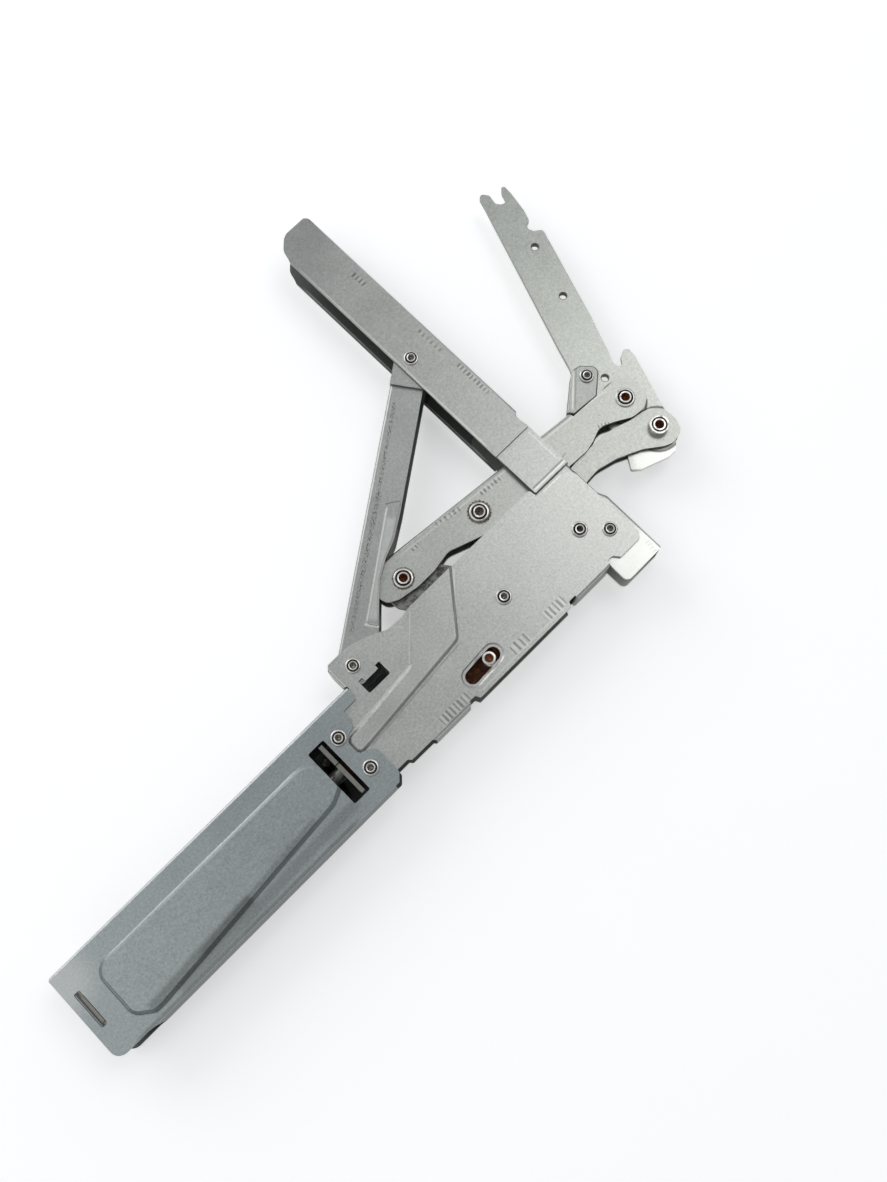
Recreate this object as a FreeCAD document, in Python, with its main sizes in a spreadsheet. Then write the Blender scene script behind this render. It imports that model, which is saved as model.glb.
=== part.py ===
import FreeCAD, Part
import math
import os
import Sketcher

# Oven door hinge of the double-lever kind: a spring case and a body of folded sheet, an arm
# channel with its strut, and a linkage of two levers and two links that carries the door blade.
# Drawing frame: origin on the rear lever pin, X along the spring case towards the front,
# Y towards the arm, Z across the hinge with the mid-plane at zero. Every piece is symmetric
# about the mid-plane. Each piece is then placed in the part's own frame, whose origin is the
# middle of the flat front web.

Vector = FreeCAD.Vector
Z_AXIS = Vector(0, 0, 1)

os.makedirs("parts", exist_ok=True)
doc = FreeCAD.newDocument("OvenDoorHinge")

# Driving dimensions in millimetres and degrees
DRIVING_SIZES = (
    ("sheet_gauge", 1.5),
    ("case_gauge", 1.0),
    ("arm_gauge", 1.2),
    ("body_face", 9.0),
    ("link_inner", 4.2),
    ("lower_link_inner", 2.4),
    ("lever_half", 2.2),
    ("blade_half", 1.5),
    ("running_gap", 0.05),
    ("side_gap", 0.1),
    ("bend_radius", 1.4),
    ("front_pin_x", 41.4),
    ("front_pin_y", -2.16),
    ("lever_length", 41.35),
    ("lever_angle", 123.3),
    ("blade_pin_x", 96.5),
    ("blade_pin_y", 24.1),
    ("tail_pin_x", 97.5),
    ("tail_pin_y", 5.8),
    ("clip_pin_x", 92.96),
    ("clip_pin_y", 42.55),
    ("strut_foot_x", -62.1),
    ("strut_foot_y", 22.7),
    ("strut_head_x", 44.93),
    ("strut_head_y", 98.53),
    ("strut_width", 14.0),
    ("crank_x", 2.9),
    ("crank_y", -14.0),
    ("slide_x", -21.87),
    ("slide_y", -13.28),
    ("slot_run_back", 9.8),
    ("slot_run_front", 2.3),
    ("slot_width", 6.0),
    ("slot_slope", 3.5),
    ("slide_pin_radius", 2.8),
    ("slide_bore", 1.7),
    ("body_pin_radius", 2.5),
    ("body_pin_head", 3.3),
    ("link_pin_radius", 3.0),
    ("link_pin_head", 4.2),
    ("rivet_radius", 2.2),
    ("rivet_head", 3.1),
    ("clip_pin_radius", 2.0),
    ("head_height", 0.9),
    ("collar_height", 0.5),
    ("collar_wall", 0.9),
    ("tail_stand", 2.9),
    ("spacer_radius", 5.0),
    ("case_end", -227.0),
    ("case_top", 18.3),
    ("case_bottom", -22.9),
    ("case_pocket_rise", 1.5),
    ("bead_rise", 1.0),
    ("web_face", 60.2),
    ("foot_bottom", -30.6),
    ("tongue_top", 60.0),
    ("arm_left", 39.2),
    ("arm_right", 59.4),
    ("arm_foot", 43.2),
    ("arm_top", 177.2),
    ("seat_front", -92.5),
    ("seat_gauge", 1.8),
    ("spring_axis", -3.3),
    ("spring_outer", 8.8),
    ("spring_wire", 3.2),
    ("spring_turns", 17.0),
    ("anchor_front", -220.9),
    ("guide_radius", 3.0),
    ("guide_end_gap", 8.6),
    ("rod_width", 6.0),
    ("blade_slot_run", 3.7),
    ("blade_slot_gap", 1.0),
)

sheet = doc.addObject("Spreadsheet::Sheet", "Sizes")
for row, (alias, value) in enumerate(DRIVING_SIZES, start=1):
    sheet.set("A%d" % row, alias.replace("_", " "))
    sheet.set("B%d" % row, str(value))
    sheet.setAlias("B%d" % row, alias)
doc.recompute()


def size(alias):
    """Value of a driving dimension, read from the sheet."""
    return float(sheet.get(alias))


# Pivots and faces that several pieces share
REAR_PIN = (0.0, 0.0)
FRONT_PIN = (size("front_pin_x"), size("front_pin_y"))
LEVER_ANGLE = math.radians(size("lever_angle"))
LEVER_X = size("lever_length") * math.cos(LEVER_ANGLE)
LEVER_Y = size("lever_length") * math.sin(LEVER_ANGLE)
REAR_LINK_PIN = (REAR_PIN[0] + LEVER_X, REAR_PIN[1] + LEVER_Y)
FRONT_LINK_PIN = (FRONT_PIN[0] + LEVER_X, FRONT_PIN[1] + LEVER_Y)
BLADE_PIN = (size("blade_pin_x"), size("blade_pin_y"))
TAIL_PIN = (size("tail_pin_x"), size("tail_pin_y"))
CLIP_PIN = (size("clip_pin_x"), size("clip_pin_y"))
STRUT_FOOT = (size("strut_foot_x"), size("strut_foot_y"))
STRUT_HEAD = (size("strut_head_x"), size("strut_head_y"))
CRANK_PIN = (size("crank_x"), size("crank_y"))
SLIDE_PIN = (size("slide_x"), size("slide_y"))
BRACKET_RIVET = (50.12, -10.7)
CASE_RIVET_UPPER = (-85.95, 6.0)
CASE_RIVET_LOWER = (-85.0, -11.1)

BODY_FACE = size("body_face")
BODY_INNER = BODY_FACE - size("sheet_gauge")
CASE_FACE = BODY_FACE + size("case_gauge")
TONGUE_INNER = BODY_INNER + size("side_gap")
TONGUE_FACE = TONGUE_INNER + size("sheet_gauge")
ARM_FACE = TONGUE_FACE + size("arm_gauge")
LINK_FACE = size("link_inner") + size("sheet_gauge")
LOWER_LINK_FACE = size("lower_link_inner") + size("sheet_gauge")

# Heights of the bent edges and ends that pieces share
BODY_TOP = 23.8
BODY_BEND = -21.3
BODY_EDGE = -21.9
LOBE_TOP = 30.0
LOBE_LEFT = -71.0
CASE_LAP = -90.3
WINDOW_LEFT = -99.0
WINDOW_RIGHT = -90.8
STEP_FOOT = 20.8

# The part's frame: origin in the middle of the front web
WEB_TOP = 0.0
ORIGIN = Vector(-size("web_face"), -(WEB_TOP + size("foot_bottom")) / 2, 0)

bodies = []


def at(point, step_x, step_y, radius=0.0):
    """Corner of an outline, given from a pivot or another reference point."""
    return (point[0] + step_x, point[1] + step_y, radius)


def unit(x, y):
    length = math.hypot(x, y)
    return (x / length, y / length)


def rounded_corner(before, corner, after, radius):
    """Start, middle and end of the arc that rounds a corner, and no more than its sides allow."""
    back = unit(before[0] - corner[0], before[1] - corner[1])
    ahead = unit(after[0] - corner[0], after[1] - corner[1])
    half = math.acos(max(-1.0, min(1.0, back[0] * ahead[0] + back[1] * ahead[1]))) / 2
    shorter = min(math.dist(before[:2], corner[:2]), math.dist(after[:2], corner[:2]))
    cut = min(radius / math.tan(half), 0.49 * shorter)
    radius = cut * math.tan(half)
    middle = unit(back[0] + ahead[0], back[1] + ahead[1])
    reach = radius / math.sin(half) - radius
    start = (corner[0] + back[0] * cut, corner[1] + back[1] * cut)
    apex = (corner[0] + middle[0] * reach, corner[1] + middle[1] * reach)
    end = (corner[0] + ahead[0] * cut, corner[1] + ahead[1] * cut)
    return start, apex, end


def flat(point):
    return Vector(point[0], point[1], 0)


def outline(points):
    """Closed outline of lines and arcs through corners (x, y) or (x, y, radius)."""
    curves = []
    stretches = []
    count = len(points)
    for index in range(count):
        corner = points[index]
        radius = corner[2] if len(corner) > 2 else 0.0
        if radius:
            start, apex, end = rounded_corner(points[index - 1], corner, points[(index + 1) % count], radius)
            curves.append(Part.Arc(flat(start), flat(apex), flat(end)))
            stretches.append((start, end))
        else:
            stretches.append((corner, corner))
    for index in range(count):
        leave = stretches[index][1]
        reach = stretches[(index + 1) % count][0]
        if math.dist(leave[:2], reach[:2]) > 1e-6:
            curves.append(Part.LineSegment(flat(leave), flat(reach)))
    return curves


def inset(points, distance):
    """The same outline, moved inwards by a distance; its corners run anticlockwise."""
    moved = []
    count = len(points)
    for index in range(count):
        before, corner, after = points[index - 1], points[index], points[(index + 1) % count]
        arrive = unit(corner[0] - before[0], corner[1] - before[1])
        depart = unit(after[0] - corner[0], after[1] - corner[1])
        normal = unit(-arrive[1] - depart[1], arrive[0] + depart[0])
        scale = distance / (-arrive[1] * normal[0] + arrive[0] * normal[1])
        turns_left = arrive[0] * depart[1] - arrive[1] * depart[0] > 0
        radius = corner[2] - distance if turns_left else corner[2] + distance
        moved.append((corner[0] + normal[0] * scale, corner[1] + normal[1] * scale, radius))
    return moved


def rectangle(x_low, x_high, y_low, y_high, radius=0.0):
    """Corners of a rectangle, anticlockwise from the lower left one."""
    return [
        (x_low, y_low, radius), (x_high, y_low, radius),
        (x_high, y_high, radius), (x_low, y_high, radius),
    ]


def stadium(start, end, radius):
    """Slot outline: two half circles and two straight sides."""
    along = unit(end[0] - start[0], end[1] - start[1])
    side = (-along[1] * radius, along[0] * radius)
    tip = (along[0] * radius, along[1] * radius)
    start_left, start_right = at(start, *side), at(start, -side[0], -side[1])
    end_left, end_right = at(end, *side), at(end, -side[0], -side[1])
    return [
        Part.Arc(flat(start_left), flat(at(start, -tip[0], -tip[1])), flat(start_right)),
        Part.LineSegment(flat(start_right), flat(end_right)),
        Part.Arc(flat(end_right), flat(at(end, *tip)), flat(end_left)),
        Part.LineSegment(flat(end_left), flat(start_left)),
    ]


def hull(start, start_radius, end, end_radius):
    """Outline of a lever: two round ends joined by their common tangents."""
    along = unit(end[0] - start[0], end[1] - start[1])
    reach = math.dist(start, end)
    lean = math.asin((start_radius - end_radius) / reach)
    heading = math.atan2(along[1], along[0])

    def rim(centre, radius, angle):
        return Vector(centre[0] + radius * math.cos(angle), centre[1] + radius * math.sin(angle), 0)

    left = heading + math.pi / 2 - lean
    right = heading - math.pi / 2 + lean
    return [
        Part.LineSegment(rim(start, start_radius, right), rim(end, end_radius, right)),
        Part.Arc(rim(end, end_radius, right), rim(end, end_radius, heading), rim(end, end_radius, left)),
        Part.LineSegment(rim(end, end_radius, left), rim(start, start_radius, left)),
        Part.Arc(rim(start, start_radius, left), rim(start, start_radius, heading + math.pi),
                 rim(start, start_radius, right)),
    ]


def new_piece(label):
    """A body with its own origin planes; its label names its file."""
    body = doc.addObject("PartDesign::Body", "Body_" + label)
    body.Label = label
    bodies.append(body)
    return body


def origin_plane(body, role):
    return [plane for plane in body.Origin.OriginFeatures if plane.Role == role][0]


def sketch_on(body, name, curves, height=None, role="XY_Plane"):
    """Sketch of closed curves on one of the piece's own planes, lifted by an expression."""
    sketch = body.newObject("Sketcher::SketchObject", name)
    sketch.AttachmentSupport = [(origin_plane(body, role), "")]
    sketch.MapMode = "FlatFace"
    if height is not None:
        sketch.setExpression("AttachmentOffset.Base.z", height)
    sketch.addGeometry(curves, False)
    return sketch


def circle_sketch(body, name, holes, radius, height=None):
    """Sketch of equal circles whose radius follows the sheet."""
    curves = [Part.Circle(flat(centre), Z_AXIS, 1.0) for centre in holes]
    sketch = sketch_on(body, name, curves, height)
    for index in range(len(holes)):
        sketch.addConstraint(Sketcher.Constraint("Radius", index, 1.0))
        sketch.setExpression("Constraints[%d]" % index, radius)
    return sketch


def pad(body, name, sketch, length, symmetric=True, reverse=False, taper=0.0):
    feature = body.newObject("PartDesign::Pad", name)
    feature.Profile = sketch
    feature.SideType = "Symmetric" if symmetric else "One side"
    feature.Reversed = reverse
    feature.TaperAngle = taper
    feature.setExpression("Length", length)
    return feature


def pocket(body, name, sketch, length, symmetric=True, reverse=False, taper=0.0):
    feature = body.newObject("PartDesign::Pocket", name)
    feature.Profile = sketch
    feature.SideType = "Symmetric" if symmetric else "One side"
    feature.Reversed = reverse
    feature.TaperAngle = taper
    feature.setExpression("Length", length)
    return feature


def slab(body, name, curves, half):
    """Solid of an outline, as deep as twice the half depth, about the mid-plane."""
    return pad(body, name + "_pad", sketch_on(body, name + "_outline", curves), "2 * (%s)" % half)


def hollow(body, name, curves, half):
    """Space inside a folded sheet, about the mid-plane."""
    return pocket(body, name + "_pocket", sketch_on(body, name + "_outline", curves), "2 * (%s)" % half)


def drill(body, name, holes, radius):
    """Round holes through the whole piece."""
    sketch = circle_sketch(body, name + "_circles", holes, radius)
    return pocket(body, name, sketch, "4 * Sizes.body_face")


def bend(body, name, feature, on_fold, half, radius="Sizes.bend_radius"):
    """Round the folded edges: those whose ends lie on the fold and on the outer faces."""
    doc.recompute()

    def is_fold(edge):
        ends = [vertex.Point for vertex in edge.Vertexes]
        return len(ends) == 2 and all(abs(abs(end.z) - half) < 1e-4 and on_fold(end) for end in ends)

    names = ["Edge%d" % (index + 1) for index, edge in enumerate(feature.Shape.Edges) if is_fold(edge)]
    fillet = body.newObject("PartDesign::Fillet", name)
    fillet.Base = (feature, names)
    fillet.setExpression("Radius", radius)
    return fillet


def press_form(body, name, points, face, rise, gauge, flare):
    """Shallow form pressed out of both plates: raised outside and hollow inside."""
    height = size(rise.split(".")[1])
    taper = -math.degrees(math.atan(flare / height))
    under = inset(points, 0.5 * (flare + size(gauge.split(".")[1])))
    for side, sign, turned in (("front", "", False), ("rear", "-", True)):
        raised = sketch_on(body, "%s_%s_rise" % (name, side), outline(points), "%s(%s)" % (sign, face))
        pad(body, "%s_%s" % (name, side), raised, rise, False, turned, taper)
    for side, sign, turned in (("front", "", True), ("rear", "-", False)):
        floor = "%s(%s - %s)" % (sign, face, gauge)
        sunk = sketch_on(body, "%s_%s_sink" % (name, side), outline(under), floor)
        pocket(body, "%s_%s_under" % (name, side), sunk, rise, False, turned)


def place(body, point=REAR_PIN, turn=0.0):
    """Put a piece in the part's frame."""
    body.Placement = FreeCAD.Placement(ORIGIN + flat(point), FreeCAD.Rotation(Z_AXIS, turn))


# Spring case and body

def make_spring_case():
    """One folded sheet: front plate, top web, rear plate and a lower wall."""
    case = new_piece("spring_case")
    left, top, bottom = size("case_end"), size("case_top"), size("case_bottom")
    wall_start, wall_end = left + 18, -83.0
    shape = [
        (left, bottom + 0.4, 4.5), (wall_start - 3, bottom + 0.4, 0.8), (wall_start, bottom, 2.0),
        (-81.0, bottom, 1.0), (-78.2, -20.0, 1.5), (-78.2, -7.5, 1.5), (-80.8, -5.2, 1.0),
        (-83.8, -4.2, 1.5), (-85.4, -1.6, 1.5), (-84.9, 2.0, 1.5), (-82.0, 4.4, 1.5), (-79.0, 5.0, 1.5),
        (-77.5, 8.0, 1.5), (-77.3, 12.2, 0.8), (-71.0, 12.3, 1.2), (-69.8, 14.2, 0.8),
        (-69.8, top), (left, top),
    ]
    block = slab(case, "case", outline(shape), "Sizes.body_face + Sizes.case_gauge")
    bend(case, "case_fold", block, lambda end: abs(end.y - top) < 1e-4, CASE_FACE)
    inner_top, inner_bottom = top - size("case_gauge"), bottom + size("case_gauge")
    far = 20.0
    inside = [
        (left - far, bottom - far), (wall_start, bottom - far), (wall_start, inner_bottom),
        (wall_end, inner_bottom), (wall_end, bottom - far), (-50.0, bottom - far),
        (-50.0, inner_top), (left - far, inner_top),
    ]
    hollow(case, "case_inside", outline(inside), "Sizes.body_face")
    form = [
        (left + 14.5, 9.0, 6.5), (left + 14.5, -14.5, 6.0), (left + 22, -20.0, 5.0), (left + 27, -20.0, 5.0),
        (-105.0, -12.1, 8.0), (-97.3, -8.5, 4.0), (-97.3, 5.2, 4.0), (-105.0, 9.0, 8.0),
    ]
    press_form(case, "case_panel", form, "Sizes.body_face + Sizes.case_gauge", "Sizes.case_pocket_rise",
               "Sizes.case_gauge", 1.7)
    hollow(case, "case_window", outline(rectangle(WINDOW_LEFT, WINDOW_RIGHT, -16.8, 9.8, 0.8)),
           "2 * Sizes.body_face")
    anchor = size("anchor_front")
    hollow(case, "case_slots", outline(rectangle(anchor - 2.6, anchor + 0.2, -9.5, 7.0, 0.8)),
           "2 * Sizes.body_face")
    drill(case, "case_rivet_holes", (CASE_RIVET_UPPER, CASE_RIVET_LOWER),
          "Sizes.rivet_radius + Sizes.running_gap")
    place(case)


def slot_ends(back, front):
    slope = math.radians(size("slot_slope"))
    return (at(SLIDE_PIN, -back * math.cos(slope), -back * math.sin(slope))[:2],
            at(SLIDE_PIN, front * math.cos(slope), front * math.sin(slope))[:2])


def make_body_shell():
    """One folded sheet: two side plates joined by bridges along the bottom and at the rear lobe."""
    shell = new_piece("body_shell")
    shape = [
        (CASE_LAP, -18.8, 2.0), (-72.6, -18.8, 0.6), (-71.6, -20.1, 0.8), (-60.2, -20.2, 0.1),
        (-59.4, BODY_BEND), (-39.5, BODY_BEND), (-39.5, -19.8, 0.2), (-36.2, -19.8, 1.0),
        (-35.2, BODY_EDGE, 0.6), (16.2, BODY_EDGE, 0.4), (16.8, -19.7, 1.2), (20.5, -19.7, 0.2),
        (20.5, BODY_BEND),
        (39.8, BODY_BEND), (39.8, -19.1, 0.8), (42.8, -19.1, 1.2), (44.9, -21.8, 1.0),
        (55.9, -21.8, 1.2), (57.9, -19.4, 0.8), (57.4, -17.6, 1.0), (57.4, 19.7, 5.5),
        (39.4, 19.7, 0.5), (38.7, BODY_TOP, 0.9), (-31.0, BODY_TOP, 3.0), (-34.0, 23.2, 4.0),
        (-42.0, 23.4, 5.0), (-50.0, 27.3, 12.0), (-58.5, LOBE_TOP, 14.0), (LOBE_LEFT + 2.0, LOBE_TOP),
        (LOBE_LEFT, LOBE_TOP - 2.0),
        (LOBE_LEFT, 18.6), (-69.5, 18.6), (-69.5, 17.0), (CASE_LAP, 17.0, 3.0),
    ]
    block = slab(shell, "body", outline(shape), "Sizes.body_face")
    folded = bend(shell, "bottom_folds", block, lambda end: abs(end.y - BODY_BEND) < 1e-4, BODY_FACE,
                  "0.7 * Sizes.bend_radius")
    bend(shell, "lobe_fold", folded, lambda end: abs(end.x - LOBE_LEFT) < 1e-4, BODY_FACE)
    far = 15.0
    fold = -19.8
    low = BODY_EDGE - far
    inside = [
        (CASE_LAP - far, low), (-59.0, low), (-59.0, fold), (-39.5, fold), (-39.5, low), (20.5, low),
        (20.5, fold), (39.8, fold), (39.8, low), (57.4 + far, low), (57.4 + far, LOBE_TOP + far),
        (LOBE_LEFT + size("sheet_gauge"), LOBE_TOP + far), (LOBE_LEFT + size("sheet_gauge"), 18.4),
        (CASE_LAP - far, 18.4),
    ]
    hollow(shell, "body_inside", outline(inside), "Sizes.body_face - Sizes.sheet_gauge")
    over = BODY_TOP + 3.0
    bead = [
        (-28.4, over, 0.0), (-46.3, 6.7, 4.0), (-79.0, 3.6, 5.0), (-84.6, 3.4, 3.4), (-84.6, -4.9, 3.4),
        (-79.0, -4.6, 5.0), (-25.0, 0.3, 4.0), (-3.4, over, 0.0),
    ]
    press_form(shell, "body_bead", bead, "Sizes.body_face", "Sizes.bead_rise", "Sizes.sheet_gauge", 1.2)
    hollow(shell, "bead_end", outline(rectangle(-40.0, 2.0, BODY_TOP, over + 1)), "2 * Sizes.body_face")
    hook_window = [
        (-65.0, 10.2, 0.8), (-53.6, 10.2, 0.8), (-53.6, 16.8, 0.4), (-55.8, 16.8, 0.4), (-55.8, 14.9, 0.3),
        (-62.8, 14.9, 0.3), (-62.8, 16.8, 0.4), (-65.0, 16.8, 0.4),
    ]
    hollow(shell, "hook_window", outline(hook_window), "2 * Sizes.body_face")
    back, front = slot_ends(size("slot_run_back"), size("slot_run_front"))
    rim = stadium(back, front, size("slot_width") / 2 + 1.6)
    for side, sign, turned in (("front", "", False), ("rear", "-", True)):
        sketch = sketch_on(shell, "slot_rim_%s_outline" % side, rim, sign + "Sizes.body_face")
        pocket(shell, "slot_rim_" + side, sketch, "0.3 * Sizes.sheet_gauge", False, turned, -55.0)
    hollow(shell, "slide_slot", stadium(back, front, size("slot_width") / 2), "2 * Sizes.body_face")
    gap = " + Sizes.running_gap"
    drill(shell, "pin_holes", (REAR_PIN, FRONT_PIN), "Sizes.body_pin_radius" + gap)
    drill(shell, "rivet_holes", (BRACKET_RIVET, STRUT_FOOT, CASE_RIVET_UPPER, CASE_RIVET_LOWER),
          "Sizes.rivet_radius" + gap)
    place(shell)


# Front bracket, arm and strut

def make_front_bracket():
    """One folded sheet: two cheeks inside the body, the flat front web and two stepped tongues."""
    bracket = new_piece("front_bracket")
    web, bottom, gauge = size("web_face"), size("foot_bottom"), size("sheet_gauge")
    left = size("arm_left") + 0.6
    right = web - 1.8
    cheek = [
        (left, bottom, 2.6), (web, bottom + 0.2), (web, WEB_TOP, 0.5), (right, WEB_TOP + 4.0, 0.5),
        (right, STEP_FOOT + gauge), (left, STEP_FOOT + gauge), (left, STEP_FOOT, 0.5),
        (left - 3.6, STEP_FOOT - 4.0, 1.0), (left - 3.6, -15.0, 2.0), (left, -19.5, 1.5),
    ]
    block = slab(bracket, "cheeks", outline(cheek), "Sizes.body_face - Sizes.sheet_gauge")
    bend(bracket, "web_folds", block, lambda end: abs(end.x - web) < 1e-4, BODY_INNER)
    narrow = [
        (left, STEP_FOOT), (right, STEP_FOOT), (right, size("arm_foot") - 0.2, 0.3),
        (right - 0.8, size("arm_foot") + 0.6, 0.3), (right - 0.8, size("tongue_top"), 3.0),
        (left + 0.6, size("tongue_top"), 3.0), (left, size("arm_foot") - 0.2, 0.3),
    ]
    face = "Sizes.body_face + Sizes.side_gap"
    tongue = slab(bracket, "tongues", outline(narrow), face)
    bend(bracket, "step_edges", tongue, lambda end: abs(end.y - STEP_FOOT) < 1e-4, TONGUE_FACE, "0.6")
    inner = web - gauge
    far = 15.0
    between = [
        (0.0, bottom - far), (inner, bottom - far), (inner, WEB_TOP + 4.0), (web + far, WEB_TOP + 4.0),
        (web + far, STEP_FOOT + gauge), (0.0, STEP_FOOT + gauge),
    ]
    hollow(bracket, "between_cheeks", outline(between), "Sizes.body_face - 2 * Sizes.sheet_gauge")
    above = rectangle(0.0, web + far, STEP_FOOT + 0.8 * gauge, size("tongue_top") + far)
    hollow(bracket, "between_tongues", outline(above), "Sizes.body_face - Sizes.sheet_gauge + Sizes.side_gap")
    drill(bracket, "bracket_pin_hole", (FRONT_PIN,), "Sizes.body_pin_radius + Sizes.running_gap")
    drill(bracket, "bracket_rivet_hole", (BRACKET_RIVET,), "Sizes.rivet_radius + Sizes.running_gap")
    place(bracket)


def make_arm_channel():
    """One folded sheet: the long channel that stands up from the body."""
    arm = new_piece("arm_channel")
    left, right, foot, top = size("arm_left"), size("arm_right"), size("arm_foot"), size("arm_top")
    shape = [
        (left, foot, 0.4), (right - 1.2, foot, 0.4), (right - 1.8, foot + 4.0, 1.0),
        (right - 1.8, foot + 6.2, 0.4), (right, foot + 8.4), (right, top - 2.0),
        (right - 2.0, top), (left + 8.0, top, 3.0), (left + 5.6, top - 1.2, 3.0),
        (left + 1.8, top - 5.0, 4.0), (left + 0.8, top - 9.0, 3.0), (left, top - 11.0, 1.0),
    ]
    face = "Sizes.body_face + Sizes.side_gap + Sizes.arm_gauge"
    block = slab(arm, "arm", outline(shape), face)
    bend(arm, "arm_fold", block, lambda end: abs(end.x - right) < 1e-4, ARM_FACE)
    inner = right - size("arm_gauge")
    far = 15.0
    inside = [
        (left - far, foot - far), (right + far, foot - far), (right + far, foot + 6.6),
        (inner, foot + 6.6), (inner, top + far), (left - far, top + far),
    ]
    hollow(arm, "arm_inside", outline(inside), "Sizes.body_face + Sizes.side_gap")
    drill(arm, "arm_rivet_hole", (STRUT_HEAD,), "Sizes.rivet_radius + Sizes.running_gap")
    place(arm)


def make_strut():
    """One folded sheet, drawn along its own length from the foot rivet; its head is stepped wider."""
    strut = new_piece("strut")
    length = math.dist(STRUT_FOOT, STRUT_HEAD)
    half = size("strut_width") / 2
    end = half - 0.1
    shape = [
        (-half, -half, end), (16.3, -half - 0.3, 1.0), (27.0, -half + 1.6, 12.0), (37.0, -half + 3.1, 14.0),
        (46.0, -half + 2.3, 14.0), (54.0, -half + 0.5, 12.0), (66.0, -half, 8.0),
        (length + half, -half, end), (length + half, half - 4.0), (length + half - 4.0, half),
        (4.0 - half, half), (-half, half - 4.0),
    ]
    block = slab(strut, "strut", outline(shape), "Sizes.body_face - Sizes.sheet_gauge")
    bend(strut, "strut_fold", block, lambda end: abs(end.y - half) < 1e-4, BODY_INNER)
    wide_start = length - 12.0
    gauge = size("arm_gauge")
    head = [
        (wide_start, -half), (length + half, -half, end), (length + half, half - 4.0),
        (length + half - 4.0, half), (wide_start, half),
    ]
    slab(strut, "strut_head", outline(head), "Sizes.body_face + Sizes.side_gap")
    far = 20.0
    web_inner = half - gauge
    web_end = 9.0
    inside = [
        (-far, -far), (length + far, -far), (length + far, far), (length - web_end, far),
        (length - web_end, web_inner), (web_end, web_inner), (web_end, far), (-far, far),
    ]
    hollow(strut, "strut_inside", outline(inside), "Sizes.body_face - Sizes.sheet_gauge - Sizes.arm_gauge")
    head_inside = [
        (wide_start + gauge, -far), (length + far, -far), (length + far, far), (length - web_end, far),
        (length - web_end, web_inner), (wide_start + gauge, web_inner),
    ]
    hollow(strut, "strut_head_inside", outline(head_inside),
           "Sizes.body_face + Sizes.side_gap - Sizes.arm_gauge")
    rib = [
        (17.9, -2.4, 0.8), (17.9, -half + 0.2, 0.4), (27.0, -half + 2.4, 12.0), (37.0, -half + 3.6, 14.0),
        (46.0, -half + 2.9, 14.0), (54.0, -half + 1.2, 12.0), (70.0, -half + 0.6, 0.4), (68.4, -2.2, 0.8),
    ]
    for side, sign, turned in (("front", "", False), ("rear", "-", True)):
        sketch = sketch_on(strut, "rib_%s_outline" % side, outline(rib),
                           sign + "(Sizes.body_face - Sizes.sheet_gauge)")
        pad(strut, "rib_" + side, sketch, "0.6 * Sizes.arm_gauge", False, turned)
    drill(strut, "strut_holes", ((0.0, 0.0), (length, 0.0)), "Sizes.rivet_radius + Sizes.running_gap")
    turn = math.degrees(math.atan2(STRUT_HEAD[1] - STRUT_FOOT[1], STRUT_HEAD[0] - STRUT_FOOT[0]))
    place(strut, STRUT_FOOT, turn)


# Levers and links

def make_front_lever():
    lever = new_piece("front_lever")
    slab(lever, "lever", hull(FRONT_PIN, 10.0, FRONT_LINK_PIN, 7.2), "Sizes.lever_half")
    drill(lever, "body_pin_bore", (FRONT_PIN,), "Sizes.body_pin_radius + Sizes.running_gap")
    drill(lever, "link_pin_bore", (FRONT_LINK_PIN,), "Sizes.link_pin_radius + Sizes.running_gap")
    place(lever)


def make_rear_lever():
    """Bell crank: a wide arm up to the upper link and a short arm down to the thrust links."""
    lever = new_piece("rear_lever")
    slab(lever, "arm", hull(REAR_PIN, 11.0, REAR_LINK_PIN, 9.0), "Sizes.lever_half")
    along = unit(LEVER_X, LEVER_Y)
    side = (-along[1], along[0])

    def on_arm(reach, across, radius=0.0):
        return (along[0] * reach + side[0] * across, along[1] * reach + side[1] * across, radius)

    length = size("lever_length")
    shoulder = [
        on_arm(0.0, 4.0), on_arm(length + 4.0, 4.0), on_arm(length + 5.0, 9.0, 3.0),
        on_arm(length, 11.4, 4.0), on_arm(0.0, 11.0),
    ]
    slab(lever, "shoulder", outline(shoulder), "Sizes.lever_half")
    slab(lever, "crank", hull(REAR_PIN, 9.0, CRANK_PIN, 5.0), "Sizes.lever_half")
    drill(lever, "body_pin_bore", (REAR_PIN,), "Sizes.body_pin_radius + Sizes.running_gap")
    drill(lever, "crank_pin_hole", (CRANK_PIN,), "Sizes.body_pin_radius + Sizes.running_gap")
    drill(lever, "link_pin_bore", (REAR_LINK_PIN,), "Sizes.link_pin_radius + Sizes.running_gap")
    place(lever)


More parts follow.
